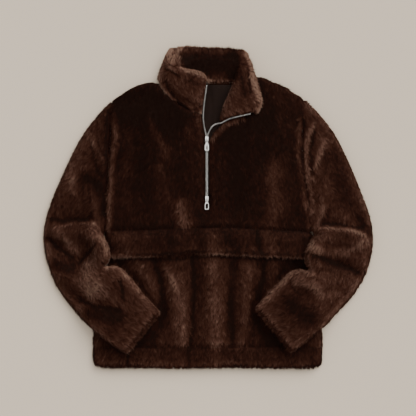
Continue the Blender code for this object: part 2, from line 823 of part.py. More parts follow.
def build_collar(fabric):
    """Doubled fur band: outer layer and inner layer back to back."""
    last = len(COLLAR) - 1.0
    stations = [0.0, 0.12, 0.45]
    stations += [1.0, 1.6, 2.2, 2.9, 3.5, 4.0, 4.5, 5.0, 5.45, 5.9, 6.35, 6.8, 7.3, 8.0, 9.0, 10.0]
    stations += [11.0, 12.0, 12.5, 13.0, 13.5, 14.0, 14.6, 15.3, 16.0, 16.8]
    stations += [last - 0.45, last - 0.12, last]
    thin = {0.0: 0.4, 0.12: 0.8, last - 0.12: 0.8, last: 0.4}
    bm = bmesh.new()
    loops = []
    for station in stations:
        outer_side = []
        inner_side = []
        for across in COLLAR_ACROSS:
            middle = collar_point(station, across)
            normal = collar_normal(station, across)
            wall = COLLAR_SEAM_WALL + (COLLAR_WALL - COLLAR_SEAM_WALL) * soft_step(across / 0.35)
            from_rim = (1.0 - across) * COLLAR_HIGH
            rim = sqrt(1.0 - (1.0 - min(from_rim / COLLAR_RIM_ROUND, 1.0)) ** 2)
            from_seam = min(across * COLLAR_HIGH / 8.0, 1.0)
            half = 0.5 * wall * thin.get(station, 1.0)
            half *= max(rim, 0.3) * (0.7 + 0.3 * from_seam)
            pinch = 1.0 - COLLAR_PINCH * exp(-((station - COLLAR_BEND) / 1.3) ** 2)
            turned = soft_step((station - COLLAR_TURN) / 1.5)
            fold_in = 1.0 - 0.5 * turned * exp(-((across - 0.3) / 0.2) ** 2)
            outer_side.append(middle + normal * half * fold_in)
            inner_side.append(middle - normal * half * pinch)
        loop = outer_side + inner_side[::-1]
        loops.append([bm.verts.new(point * MM) for point in loop])
    count = len(loops[0])
    for first, second in zip(loops, loops[1:]):
        for index in range(count):
            after = (index + 1) % count
            bm.faces.new((first[index], first[after], second[after], second[index]))
    half_count = count // 2
    for loop in (loops[0], loops[-1]):
        for index in range(half_count - 1):
            other = count - 1 - index
            bm.faces.new((loop[index], loop[index + 1], loop[other - 1], loop[other]))
    return finish("collar", bm, fabric)


def build_neck_lining(fabric):
    """Smooth woven lining on the inside of the back, seen in the opening."""
    low_z = BACK_TOP + 0.3
    high_z = low_z + 1.1
    rows = ((294.0, -62.0, 84.0), (240.0, -66.0, 88.0), (180.0, -60.0, 82.0), (120.0, -52.0, 74.0))
    tops = []
    unders = []
    for y, left, right in rows:
        shares = [index / 8.0 for index in range(9)]
        tops.append([(left + share * (right - left), y, high_z) for share in shares])
        unders.append([(left + share * (right - left), y, low_z) for share in shares])
    return sheet("neck_lining", tops, unders, fabric)


def build_zip_side(name, rows, way, finish_material):
    """Tape with the strip of teeth along its edge. way is -1 on the left."""
    bm = bmesh.new()
    loops = []
    steps = 2
    places = [index / steps for index in range(steps * (len(rows) - 1) + 1)]
    for place in places:
        x, y, z, tape = smooth_row(rows, place)
        nxt = smooth_row(rows, min(place + 0.05, len(rows) - 1.0))
        back = smooth_row(rows, max(place - 0.05, 0.0))
        along = Vector((nxt[0] - back[0], nxt[1] - back[1], 0.0)).normalized()
        out = Vector((-along.y, along.x, 0.0)) * (-way)
        base = Vector((x, y, z))
        profile = (
            (0.15, 0.0),
            (0.15, TOOTH_HEIGHT),
            (TOOTH_WIDTH, TOOTH_HEIGHT),
            (TOOTH_WIDTH, TAPE_THICK),
            (TOOTH_WIDTH + tape, TAPE_THICK),
            (TOOTH_WIDTH + tape, 0.0),
        )
        loops.append([bm.verts.new((base + out * a + Vector((0, 0, b))) * MM) for a, b in profile])
    for first, second in zip(loops, loops[1:]):
        for index in range(6):
            after = (index + 1) % 6
            bm.faces.new((first[index], first[after], second[after], second[index]))
    for loop in (loops[0], loops[-1]):
        bm.faces.new((loop[0], loop[1], loop[2], loop[3]))
        bm.faces.new((loop[0], loop[3], loop[4], loop[5]))
    return finish(name, bm, finish_material, 30.0)


def solid_box(bm, low, high):
    made = bmesh.ops.create_cube(bm, size=1.0)
    for vert in made["verts"]:
        share = vert.co + Vector((0.5, 0.5, 0.5))
        vert.co = Vector([l + s * (h - l) for l, h, s in zip(low, high, share)]) * MM
    return made["verts"]


def prism(bm, outline, low, high):
    """Upright prism on an outline of x, y points."""
    under = [bm.verts.new(Vector((x, y, low)) * MM) for x, y in outline]
    over = [bm.verts.new(Vector((x, y, high)) * MM) for x, y in outline]
    bm.faces.new(list(reversed(under)))
    bm.faces.new(over)
    for index in range(len(outline)):
        after = (index + 1) % len(outline)
        bm.faces.new((under[index], under[after], over[after], over[index]))


def cut(made, cutter, cut_name):
    """Take one solid out of another and drop the cutter."""
    modifier = made.modifiers.new(cut_name, "BOOLEAN")
    modifier.operation = "DIFFERENCE"
    modifier.object = cutter
    cutter.hide_render = True
    cutter.display_type = "WIRE"


def build_slider(name, centre_y, metal):
    """Slider plate with its side flanges and the arched bridge, one piece."""
    half = 0.5 * SLIDER_WIDTH
    long_half = 0.5 * SLIDER_LONG
    plate_top = SLIDER_PLATE_Z + SLIDER_PLATE
    bm = bmesh.new()
    # Outline across the slider, drawn in x and z and run along y
    section = (
        (-half, 14.4), (-half + 0.7, 14.4), (-half + 0.7, SLIDER_PLATE_Z),
        (half - 0.7, SLIDER_PLATE_Z), (half - 0.7, 14.4), (half, 14.4),
        (half, plate_top - 0.5), (half - 0.8, plate_top),
        (-half + 0.8, plate_top), (-half, plate_top - 0.5),
    )
    ends = []
    steps = ((-1.0, 0.93), (-0.45, 0.96), (0.3, 1.0), (1.0, 0.95))
    for along, keep in steps:
        y = long_half * along
        loop = [Vector((ZIP_X + x * keep, centre_y + y, z)) for x, z in section]
        ends.append([bm.verts.new(point * MM) for point in loop])
    for first, second in zip(ends, ends[1:]):
        for index in range(len(section)):
            after = (index + 1) % len(section)
            bm.faces.new((first[index], first[after], second[after], second[index]))
    for loop in (ends[0], ends[-1]):
        bm.faces.new((loop[0], loop[1], loop[2], loop[9]))
        bm.faces.new((loop[9], loop[2], loop[3], loop[6]))
        bm.faces.new((loop[3], loop[4], loop[5], loop[6]))
        bm.faces.new((loop[6], loop[7], loop[8], loop[9]))
    plate = finish(name, bm, metal, 40.0)
    bridge = bmesh.new()
    arch = []
    steps = 8
    for index in range(steps + 1):
        turn = pi * index / steps
        y = -0.5 * BRIDGE_LONG * cos(turn)
        z = plate_top - 0.4 + (BRIDGE_HIGH + 0.4) * sin(turn) ** 0.6
        arch.append((centre_y - 1.0 + y, z))
    inner = []
    for index in range(steps + 1):
        turn = pi * (steps - index) / steps
        y = -(0.5 * BRIDGE_LONG - BRIDGE_BAR) * cos(turn)
        z = plate_top - 0.4 + (BRIDGE_HIGH + 0.4 - BRIDGE_BAR) * sin(turn) ** 0.6
        inner.append((centre_y - 1.0 + y, z))
    outline = arch + inner
    x_low = ZIP_X - 0.5 * BRIDGE_WIDE
    x_high = ZIP_X + 0.5 * BRIDGE_WIDE
    near = [bridge.verts.new(Vector((x_low, y, z)) * MM) for y, z in outline]
    far = [bridge.verts.new(Vector((x_high, y, z)) * MM) for y, z in outline]
    count = len(outline)
    for index in range(count):
        after = (index + 1) % count
        bridge.faces.new((near[index], near[after], far[after], far[index]))
    for side in (near, far):
        for index in range(steps):
            other = count - 1 - index
            bridge.faces.new((side[index], side[index + 1], side[other - 1], side[other]))
    helper = finish(name + "_bridge", bridge, metal, 40.0)
    joined = plate.modifiers.new("bridge", "BOOLEAN")
    joined.operation = "UNION"
    joined.object = helper
    helper.hide_render = True
    helper.display_type = "WIRE"
    return plate


def build_pull(name, row, metal):
    """Flat metal pull with the eye that rides on the slider's bridge."""
    hinge_y, length, eye_wide, end_wide = row
    low = PULL_HINGE_Z - 0.5 * PULL_THICK
    high = PULL_HINGE_Z + 0.5 * PULL_THICK
    bm = bmesh.new()
    top = hinge_y + 0.8
    bottom = hinge_y + 0.8 - length
    half_top = 0.5 * eye_wide
    half_end = 0.5 * end_wide
    outline = [
        (ZIP_X - half_top, top - 0.6),
        (ZIP_X - half_end, top - 0.42 * length),
        (ZIP_X - half_end, bottom + 1.6),
        (ZIP_X - half_end + 1.6, bottom),
        (ZIP_X + half_end - 1.6, bottom),
        (ZIP_X + half_end, bottom + 1.6),
        (ZIP_X + half_end, top - 0.42 * length),
        (ZIP_X + half_top, top - 0.6),
        (ZIP_X + half_top - 0.8, top),
        (ZIP_X - half_top + 0.8, top),
    ]
    prism(bm, outline, low, high)
    pull = finish(name, bm, metal, 40.0)
    half_eye = 0.5 * BRIDGE_WIDE + 0.5
    eye = bmesh.new()
    solid_box(eye, (ZIP_X - half_eye, top - 7.2, low - 2.0), (ZIP_X + half_eye, top - 1.6, high + 2.0))
    cut(pull, finish(name + "_eye", eye, metal), "eye")
    slot = bmesh.new()
    slot_low = bottom + 0.16 * length
    slot_high = bottom + 0.5 * length
    ends = []
    for index in range(13):
        turn = pi * index / 12.0
        ends.append((ZIP_X + 1.9 * cos(turn), slot_high - 1.9 + 1.9 * sin(turn)))
    for index in range(13):
        turn = pi + pi * index / 12.0
        ends.append((ZIP_X + 1.9 * cos(turn), slot_low + 1.9 + 1.9 * sin(turn)))
    prism(slot, ends, low - 2.0, high + 2.0)
    cut(pull, finish(name + "_slot", slot, metal), "slot")
    return pull


def build():
    for item in list(bpy.data.objects):
        bpy.data.objects.remove(item, do_unlink=True)
    fur = material("brown_fur", (0.024, 0.010, 0.006), 0.85)
    lining = material("neck_lining", (0.020, 0.011, 0.008), 0.6)
    tape = material("zip_tape", (0.030, 0.018, 0.013), 0.8)
    metal = material("zip_metal", (0.78, 0.77, 0.75), 0.25, 1.0)
    build_back(fur)
    build_front_bodice(fur)
    build_front_lower(fur)
    build_sleeve("sleeve_left", LEFT_SLEEVE, LEFT_SLEEVE_FOLDS, -1, fur)
    build_sleeve("sleeve_right", RIGHT_SLEEVE, RIGHT_SLEEVE_FOLDS, 1, fur)
    build_collar(fur)
    build_neck_lining(lining)
    build_zip_side("zip_left", ZIP_LEFT, -1.0, tape)
    build_zip_side("zip_right", ZIP_RIGHT, 1.0, tape)
    build_slider("slider_upper", UPPER_SLIDER_Y, metal)
    build_slider("slider_lower", LOWER_SLIDER_Y, metal)
    build_pull("pull_upper", UPPER_PULL, metal)
    build_pull("pull_lower", LOWER_PULL, metal)


build()
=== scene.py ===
"""Faux fur half-zip pullover laid flat: cloth shells, pile, zip, lining, studio and camera."""

from math import cos, pi, radians, sin
import bpy
import numpy as np
from mathutils import Matrix, Vector, noise
from mathutils.bvhtree import BVHTree
from mathutils.kdtree import KDTree


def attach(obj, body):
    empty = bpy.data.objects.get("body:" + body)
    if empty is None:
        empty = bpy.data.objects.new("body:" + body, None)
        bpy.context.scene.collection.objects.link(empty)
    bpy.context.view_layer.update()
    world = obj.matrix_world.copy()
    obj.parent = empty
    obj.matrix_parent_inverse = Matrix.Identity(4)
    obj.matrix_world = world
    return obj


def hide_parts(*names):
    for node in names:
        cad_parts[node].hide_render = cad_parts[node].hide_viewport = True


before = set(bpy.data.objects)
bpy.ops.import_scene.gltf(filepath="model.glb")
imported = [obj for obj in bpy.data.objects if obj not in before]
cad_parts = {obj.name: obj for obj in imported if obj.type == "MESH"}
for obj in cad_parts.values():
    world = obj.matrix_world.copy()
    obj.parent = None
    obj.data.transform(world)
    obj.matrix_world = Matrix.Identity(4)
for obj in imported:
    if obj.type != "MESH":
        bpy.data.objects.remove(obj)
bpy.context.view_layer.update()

MM = 0.001
GARMENT = "garment"

# The picture's frame: size of a pixel on the floor, and the pixel of the origin
PIXEL = 2.4 * MM
FRAME_WIDE = 416 * PIXEL
MIDDLE_X = 208.0
MIDDLE_Y = 206.8

# Cloth: a shell lies inside its solid by a depth, or by a share of a thinner wall, and moves
# sideways by a share of that, or not at all where another wall stands within SIDE_LOOK
SHELL_INSET = 4.2 * MM
SHELL_SHARE = 0.34
SIDE_INSET_SHARE = 0.35
SIDE_LOOK = 12.0 * MM
SIDE_LEAST = 0.3
WALL_LOOK = 50.0 * MM
WALL_GUESS = 20.0 * MM
RAY_START = 0.2 * MM

# Folds: rise of the cloth and change of the pile's tone, a painted highlight on ridges and painted
# shade in hollows, for a value of 1; and the half width in pixels past which a row only paints the pile
FOLD_RAISE = 9.0 * MM
FOLD_PAINTED_SHADE = 2.1
SHADE_ONLY_HALF = 8.5

# Relief shade: grid over the solids' tops that paints highlight on rises and shade in hollows; for
# each size of form its reach, full height and tone
MAP_CELL = 3.0 * MM
MAP_HALF = 0.43
FINE_RELIEF_SHADE = (6.0 * MM, 2.6 * MM, 0.11)
BROAD_RELIEF_SHADE = (20.0 * MM, 9.0 * MM, 0.11)

# Pile: strand size, its angle from the cloth, and the size of the tufts it gathers in
PILE_LENGTH = 12.0 * MM
PILE_WIDTH = 0.9 * MM
PILE_LEAN = 0.15
WALL_LEAN = 0.32
FOLD_LEAN = 0.2
TUFT_SPACING = 4.6 * MM
FLOOR_CLEAR = 0.3 * MM

# Spread of a strand's way, angle and tone: between tufts, and between the strands of one
WAY_SPREAD = (0.22, 0.12)
LEAN_SPREAD = (0.04, 0.05)
TONE_SPREAD = (0.07, 0.055)

# Smooth changes of way and tone over a piece: scale, shift of the noise, strength
WAY_CLOUDS = ((20.0, 0.0, 0.60), (75.0, 3.0, 0.80))
TONE_CLOUDS = ((24.0, 9.0, 0.08), (9.0, 12.0, 0.06), (170.0, 15.0, 0.08))

# Tone: lighter at rims as painted sheen, in fine streaks along the nap; width of a strand in the UV map
RIM_PAINTED_SHEEN = 0.30
STREAK_TONE = 0.06
STREAK_SCALES = (190.0, 60.0)
TONE_CELL = 1.0 / 160.0

# Guard hairs: their share of the strands, and how much longer and lighter they are
GUARD_SHARE = 0.07
GUARD_LENGTH = 1.3
GUARD_TONE = 0.08

# Normals that light the strands: tipped upwards, along the nap, and a little in each tuft
UP = np.array((0.0, 0.0, 1.0))
NAP_SHINE = 0.22
TUFT_SHINE = 0.18

# Fur pieces: number of strands, tone (the fur's own, partly painted light and shade that makes some
# pieces darker or lighter), share of the pile's length, and the flat cut in metres: width, length,
# share of that rectangle
FUR_PIECES = (
    ("front_bodice", 95000, 0.115, 1.0, (0.490, 0.375, 0.90)),
    ("front_band", 34000, 0.175, 1.0, (0.500, 0.075, 1.0)),
    ("front_tier", 80000, 0.32, 1.0, (0.600, 0.270, 0.95)),
    ("front_hem", 24000, 0.21, 0.8, (0.560, 0.050, 1.0)),
    ("back_bodice", 9000, 0.25, 0.9, (0.490, 0.360, 0.95)),
    ("back_band", 1500, 0.25, 0.9, (0.460, 0.062, 1.0)),
    ("back_tier", 3000, 0.30, 0.9, (0.530, 0.225, 0.95)),
    ("back_hem", 6000, 0.30, 0.8, (0.530, 0.052, 1.0)),
    ("sleeve_left", 72000, 0.315, 1.0, (0.600, 0.480, 0.55)),
    ("sleeve_right", 72000, 0.345, 1.0, (0.600, 0.480, 0.55)),
    ("collar", 42000, 0.37, 0.8, (0.450, 0.085, 0.95)),
)

# Seams that rows of folds follow, in the picture's pixels
BAND_SEAM = ((113, 229), (150, 228.6), (175, 227), (214, 225), (250, 227.5), (280, 229), (303, 230))
HEM_SEAM = ((95, 346), (200, 345), (320, 346))

# Folds, rolled rims, gathers and seams, placed at the picture's pixels.
# Each row: half width, lift_and_shade (raised with painted highlight above 0, sunk with painted shade
# below), points.
# The lighter and darker pile is painted highlight and painted shade; some rows are only painted shadows
# where one piece lies over another.
FOLDS_AND_SHADES = {}
FOLDS_AND_SHADES["front_bodice"] = (
    (3.2, 0.22, (113, 106), (116, 126), (116, 143), (112, 170), (110, 200), (110, 228)),
    (6.0, 0.06, (130, 134), (130, 172)),
    (14.0, -0.26, (118, 104), (150, 104), (170, 118)),
    (4.0, 0.14, (150, 114), (154, 128), (162, 142), (166, 152)),
    (3.0, 0.09, (186, 126), (192, 136)),
    (5.0, 0.07, (160, 165), (166, 190)),
    (14.0, -0.07, (236, 140), (242, 200)),
    (7.0, -0.05, (146, 150), (146, 205)),
    (9.0, -0.09, (222, 130), (245, 124), (262, 122)),
    (6.0, -0.08, (270, 108), (268, 124)),
    (9.0, 0.05, (282, 160), (284, 205)),
    (7.0, -0.05, (262, 140), (262, 215)),
    (3.0, 0.10, (199, 113), (202, 137)),
    (7.0, 0.24, (181, 202), (184, 224)),
    (9.0, 0.16, (272, 165), (270, 222)),
    (3.0, 0.14, (306, 200), (309, 225)),
    (2.0, 0.26, (243, 117), (225, 123), (218, 131), (211, 139)),
    (3.0, -0.08, (198, 213), (205, 220)),
    (2.0, 0.14, (300, 118), (297, 150), (301, 180), (304, 205)),
    (1.0, -0.14, *BAND_SEAM),
)
FOLDS_AND_SHADES["front_band"] = (
    (1.0, -0.14, *BAND_SEAM),
    (4.0, -0.08, (171, 232), (171, 250)),
    (5.0, -0.05, (197, 232), (203, 244)),
    (5.0, 0.10, (214, 235), (214, 250)),
    (2.5, -0.18, (257, 232), (259, 250)),
    (6.0, 0.07, (266, 232), (272, 250)),
    (7.0, -0.08, (228, 232), (236, 245)),
    (5.0, 0.06, (120, 235), (132, 248)),
    (5.0, -0.04, (150, 232), (160, 250)),
    (1.7, 0.32, (105, 253.4), (165, 254.9), (215, 251.2), (260, 253.9), (312, 255.4)),
)
FOLDS_AND_SHADES["front_tier"] = (
    (2.6, -0.20, (192.8, 255), (194.5, 290), (190.5, 345)),
    (2.8, -0.22, (153, 257), (161, 276), (163.5, 304)),
    (5.0, -0.20, (163.5, 304), (150, 335)),
    (4.0, -0.13, (233, 258), (231, 300), (232, 343)),
    (2.6, -0.24, (265, 256), (263, 275), (257, 305)),
    (6.0, -0.18, (257, 305), (268, 340)),
    (3.5, -0.06, (200, 258), (203, 300)),
    (3.0, -0.15, (298, 258), (296, 275)),
    (2.0, -0.20, (120, 256), (121, 268)),
    (7.0, 0.11, (212, 256), (218, 285), (216, 342)),
    (3.5, 0.10, (166, 262), (176, 285)),
    (8.0, 0.10, (174, 275), (184, 340)),
    (5.0, 0.09, (248, 265), (250, 290), (240, 340)),
    (5.0, -0.07, (256, 290), (252, 340)),
    (4.0, 0.08, (138, 262), (152, 285), (158, 298)),
    (16.0, -0.08, (285, 262), (290, 340)),
    (5.0, -0.26, (255, 306), (270, 332), (284, 345)),
    (4.0, -0.30, (294, 262), (308, 264)),
    (3.5, -0.22, (165, 312), (148, 334), (132, 346)),
    (1.3, -0.22, (105, 256.2), (165, 257.7), (215, 254.2), (260, 256.7), (312, 258.2)),
    (5.0, 0.05, (276, 262), (270, 290)),
    (1.1, -0.20, *HEM_SEAM),
)
FOLDS_AND_SHADES["front_hem"] = (
    (1.1, -0.18, *HEM_SEAM),
    (1.8, 0.10, (95, 365), (322, 366)),
    (0.9, -0.25, (127.3, 350), (127.3, 362)),
    (3.0, -0.06, (190, 350), (188, 362)),
    (6.0, 0.06, (216, 350), (216, 362)),
    (4.0, 0.05, (253, 350), (252, 362)),
    (4.0, 0.05, (180, 350), (180, 362)),
)
FOLDS_AND_SHADES["sleeve_left"] = (
    (2.5, 0.10, (92, 118), (70, 155), (54, 189)),
    (3.0, -0.32, (110, 111), (109, 143), (107, 180), (105, 212)),
    (2.5, 0.13, (90, 133), (100, 147), (106, 158), (107, 176)),
    (1.0, -0.18, (98, 139), (105, 154)),
    (1.1, -0.17, (91, 139), (96, 155), (99, 168)),
    (2.0, -0.22, (99, 168), (107, 180)),
    (6.0, -0.18, (88, 176), (104, 186)),
    (4.0, 0.05, (83, 155), (88, 164)),
    (4.0, 0.10, (75, 176), (76, 189)),
    (6.0, 0.10, (76, 164), (71, 186)),
    (2.2, -0.30, (52, 217), (62, 219), (88, 218)),
    (1.6, 0.16, (64, 225), (75, 222), (95, 222)),
    (2.5, 0.17, (95, 222), (101, 230), (108, 247), (107, 265)),
    (2.4, 0.15, (107, 266), (117, 266), (123, 270), (160, 311)),
    (2.6, 0.18, (160, 313), (125, 352)),
    (5.0, 0.10, (68, 238), (78, 248)),
    (2.4, -0.25, (48, 236), (58, 246), (72, 255)),
    (6.0, -0.16, (55, 262), (72, 268)),
    (1.8, -0.34, (96, 243), (88, 252), (79, 262)),
    (10.0, 0.17, (88, 268), (92, 292)),
    (7.0, 0.08, (93, 238), (88, 262)),
    (5.0, 0.10, (58, 228), (74, 250)),
    (6.0, 0.09, (76, 278), (90, 292)),
    (6.0, 0.10, (100, 284), (112, 298)),
    (1.6, -0.22, (121, 278), (123, 298)),
    (3.0, -0.26, (118, 308), (95, 304), (80, 298)),
    (6.0, -0.16, (90, 312), (119, 316)),
    (2.5, 0.08, (90, 325), (123, 350)),
    (3.0, 0.08, (48, 200), (46, 235), (52, 270), (66, 300)),
)
FOLDS_AND_SHADES["sleeve_right"] = (
    (2.4, -0.32, (303, 120), (300, 150), (304, 185), (308, 205)),
    (2.6, 0.18, (310, 124), (306, 140), (305, 160), (309, 190), (312, 210)),
    (2.2, -0.26, (313, 130), (309, 150), (312, 172)),
    (2.6, 0.17, (323, 138), (316, 158), (312, 176)),
    (9.0, -0.09, (334, 150), (346, 200)),
    (3.0, 0.16, (323, 204), (318, 221), (314, 229)),
    (2.5, -0.12, (327, 208), (321, 223)),
    (6.0, 0.08, (339, 208), (350, 222)),
    (4.0, -0.15, (358, 216), (367, 230)),
    (1.8, 0.20, (320, 227), (331, 227), (348, 228), (364, 233)),
    (2.0, -0.20, (322, 222), (340, 222.5), (362, 227)),
    (2.5, -0.05, (322, 231), (360, 236)),
    (4.0, 0.12, (312, 244), (327, 250)),
    (4.5, 0.15, (335, 249), (350, 248), (364, 240)),
    (3.0, -0.30, (313, 253), (327, 258), (340, 262), (360, 272)),
    (2.0, 0.12, (312, 240), (306, 251), (306, 260), (314, 272)),
    (2.0, 0.13, (290, 272), (298, 269), (310, 272)),
    (3.0, 0.15, (290, 273), (275, 288), (256, 308), (273, 330)),
    (1.3, -0.24, (291, 277), (293, 286), (300, 292)),
    (4.5, 0.13, (298, 279), (314, 283), (323, 294), (338, 290)),
    (8.0, -0.14, (290, 300), (312, 318)),
    (2.5, 0.08, (364, 270), (340, 303), (323, 324)),
    (3.0, 0.07, (300, 96), (330, 118), (352, 160), (368, 205)),
)
FOLDS_AND_SHADES["collar"] = (
    (2.6, 0.17, (166, 92), (159, 78), (163, 64), (169, 52), (177, 47), (240, 46.5)),
    (2.6, 0.14, (240, 46.5), (248, 54), (253, 70), (257, 90), (262, 103), (258, 111)),
    (2.0, 0.12, (166, 92), (176, 105), (190, 113), (200, 114)),
    (2.4, 0.30, (179, 49), (177, 57), (179, 66), (185, 70), (196, 72), (203, 74), (207, 79)),
    (2.3, 0.28, (207, 79), (206, 91), (203, 106), (200, 112)),
    (4.0, 0.20, (170, 54), (172, 66)),
    (1.2, -0.30, (167, 68), (179, 76)),
    (5.0, -0.12, (190, 80), (197, 84)),
    (2.0, 0.10, (157, 79), (161, 86), (171, 96), (181, 108), (200, 113)),
    (1.5, -0.25, (166, 80), (169, 90), (177, 100), (185, 106)),
    (9.0, -0.26, (190, 62), (232, 64)),
    (4.0, -0.30, (232, 56), (233, 78)),
    (1.8, 0.16, (183, 48), (237, 49)),
    (1.1, 0.22, (209, 78.8), (231, 78.3)),
    (2.2, 0.10, (237, 63), (233, 76), (229, 90), (222, 108)),
    (2.4, 0.30, (244, 52), (249, 70), (253, 86), (259, 103), (257, 111)),
    (1.4, -0.20, (244, 60), (248, 76), (249, 93)),
    (3.0, -0.15, (240, 74), (244, 96)),
)

# Way the collar's pile lies: pixel, reach in pixels, direction
COLLAR_NAP = (
    (186, 92, 13, (0.45, -0.85, -0.1)),
    (160, 80, 9, (-0.5, -0.8, -0.2)),
    (174, 52, 8, (0.1, 0.95, 0.3)),
    (210, 47, 12, (0.0, 1.0, 0.3)),
    (210, 66, 10, (0.0, -1.0, -0.3)),
    (238, 92, 14, (0.35, -0.9, 0.0)),
    (252, 58, 9, (0.55, 0.6, 0.2)),
    (261, 98, 7, (0.8, -0.4, 0.0)),
)

# Line of each arm from shoulder to cuff, for the way its pile lies: x, y in mm
LEFT_ARM = (
    (-235, 190), (-275, 110), (-305, 30), (-322, -40),
    (-322, -110), (-296, -170), (-250, -225), (-150, -320),
)
RIGHT_ARM = (
    (235, 190), (275, 110), (303, 30), (322, -40),
    (322, -110), (296, -165), (246, -222), (150, -312),
)

# Zip: meeting edge x and y, underside of the tape and its width beyond the teeth, in mm
ZIP_LEFT = (
    (-2.9, 8.6, 12.8, 9), (-2.9, 60, 12.8, 9), (-2.9, 110, 12.8, 9), (-2.9, 150, 12.8, 9),
    (-2.9, 169, 12.8, 8), (-5.6, 183, 12.8, 5), (-8.8, 199, 14.5, 1.2), (-10, 214, 17, 0.6),
    (-9.6, 228, 20.5, 0.6), (-7.4, 250, 24.5, 0.6), (-3.6, 276, 28.6, 0.6), (-1.4, 292, 29.6, 0.6),
)
ZIP_RIGHT = (
    (-2.5, 8.6, 12.8, 9), (-2.5, 60, 12.8, 9), (-2.5, 110, 12.8, 9), (-2.5, 150, 12.8, 9),
    (-2.5, 169, 12.8, 6), (2.2, 182, 14.2, 1.2), (10, 194, 18, 0.6), (20, 199.5, 22.6, 0.6),
    (33, 202.3, 27.4, 0.6), (50, 210.8, 33, 0.6), (76, 217.3, 36.6, 0.6), (101, 222.8, 36.4, 0.6),
)
TAPE_THICK = 0.9

# Teeth in mm: pitch, size across the zip, along it and upwards, how far the middle of the row
# stands from the meeting edge, how far the heads reach over it, and height above the underside
TOOTH_PITCH = 2.8
TOOTH_SIZE = (3.3, 1.55, 2.3)
TOOTH_MIDDLE = 1.45
TOOTH_HEAD = 0.35
TOOTH_RISE = 0.3

# Room kept free of strands: beside the teeth and the sliders, and above PULL_UNDER in each pull's
# rectangle. Ends and rectangles are in mm. A strand gives way if its root and point are in reach.
ZIP_CLEAR = 2.0 * MM
SLIDER_CLEAR = 5.4 * MM
SLIDER_ENDS = ((14.0, 26.0), (156.5, 169.0))
ROOT_REACH = 16.0 * MM
POINT_REACH = 12.0 * MM
PULL_ROOM = ((-9.5, 4.0, -9.0, 16.0), (-9.5, 4.0, 132.5, 160.0))
PULL_UNDER = 18.9 * MM

# Pulls in mm: middle, thickness, rounding of edges and corners, the eye's half width and its ends
# below the head. Each pull: foot, head, half width, and its slot's half width, foot and head.
PULL_X = -2.7
PULL_Z = 20.3
PULL_THICK = 1.5
PULL_ROUND = 0.3
SLOT_CORNER = 1.3
EYE_CORNER = 0.7
PULL_EYE = (1.5, 7.2, 1.7)
PULL_SHAPES = (
    ("pull_upper", "upper_pull", 134.2, 162.2, 5.2, (2.3, 137.0, 146.5)),
    ("pull_lower", "lower_pull", -7.0, 19.2, 5.0, (2.9, -4.6, 7.4)),
)

# Neck lining in mm: the rectangle it covers, its top, and its soft upright folds (middle, half
# width, height), which begin at one y, grow over a length, and swing (how far, radians a mm)
LINING_SIDES = (-64.0, 86.0, 122.0, 292.5)
LINING_TOP = 12.2
LINING_THICK = 0.6
LINING_FOLDS = ((15.0, 8.0, 2.0), (40.0, 9.0, 1.2), (-2.0, 6.0, 0.8))
LINING_FOLDS_FROM = 165.0
LINING_FOLDS_GROW = 40.0
LINING_SWING = (4.0, 0.035)

# Stitches in mm: first and last x and the row's y, step, radius, length, height on the lining
STITCH_ROW = (3.0, 57.0, 286.5)
STITCH_STEP = 3.4
STITCH_SIZE = (0.28, 2.3, 0.25)

# Studio: floor tones; colour, power and way or place of each light; the camera
FLOOR_TONES = ((0.755, 0.637, 0.503), (0.775, 0.657, 0.523))
ROOM_COLOUR = (1.0, 0.985, 0.97, 1.0)
ROOM_POWER = 0.66
KEY_COLOUR = (1.0, 0.98, 0.955)
KEY_POWER = 2.3
KEY_ANGLE = 0.9
KEY_WAY = (-0.36, -0.60, -0.72)
OVERHEAD_COLOUR = (1.0, 0.98, 0.96)
OVERHEAD_POWER = 22.0
OVERHEAD_SIZE = 1.6
OVERHEAD_PLACE = (-0.2, 0.1, 4.6)
CAMERA_FAR = 3.6
CAMERA_PLACE = (0.0, -0.0029, CAMERA_FAR + 0.012)
SENSOR_WIDE = 36.0


def deselect():
    if bpy.context.object and bpy.context.object.mode != "OBJECT":
        bpy.ops.object.mode_set(mode="OBJECT")
    bpy.ops.object.select_all(action="DESELECT")


def choose(obj):
    deselect()
    obj.select_set(True)
    bpy.context.view_layer.objects.active = obj


def edit_all(obj):
    """Enter edit mode with all of an object selected."""
    choose(obj)
    bpy.ops.object.mode_set(mode="EDIT")
    bpy.ops.mesh.select_all(action="SELECT")


def new_object(name, data):
    """Object of some data, in the scene."""
    obj = bpy.data.objects.new(name, data)
    bpy.context.scene.collection.objects.link(obj)
    return obj


def join_all(pieces, name):
    """Pieces joined into one object of a name."""
    deselect()
    for piece in pieces:
        piece.select_set(True)
    bpy.context.view_layer.objects.active = pieces[0]
    bpy.ops.object.join()
    pieces[0].name = name
    return pieces[0]


def apply_modifier(obj, kind, **settings):
    """Add a modifier to an object and apply it."""
    choose(obj)
    made = obj.modifiers.new(kind.lower(), kind)
    for key, value in settings.items():
        setattr(made, key, value)
    bpy.ops.object.modifier_apply(modifier=made.name)


class Value:
    """A shader socket's value; sums and products of values add Math nodes."""

    def __init__(self, paint, socket):
        self.paint = paint
        self.socket = socket

    def joined(self, operation, first, second):
        return self.paint.node("ShaderNodeMath", {"operation": operation}, {0: first, 1: second})

    def __add__(self, other):
        return self.joined("ADD", self, other)

    def __radd__(self, other):
        return self.joined("ADD", other, self)

    def __mul__(self, other):
        return self.joined("MULTIPLY", self, other)

    def __rmul__(self, other):
        return self.joined("MULTIPLY", other, self)


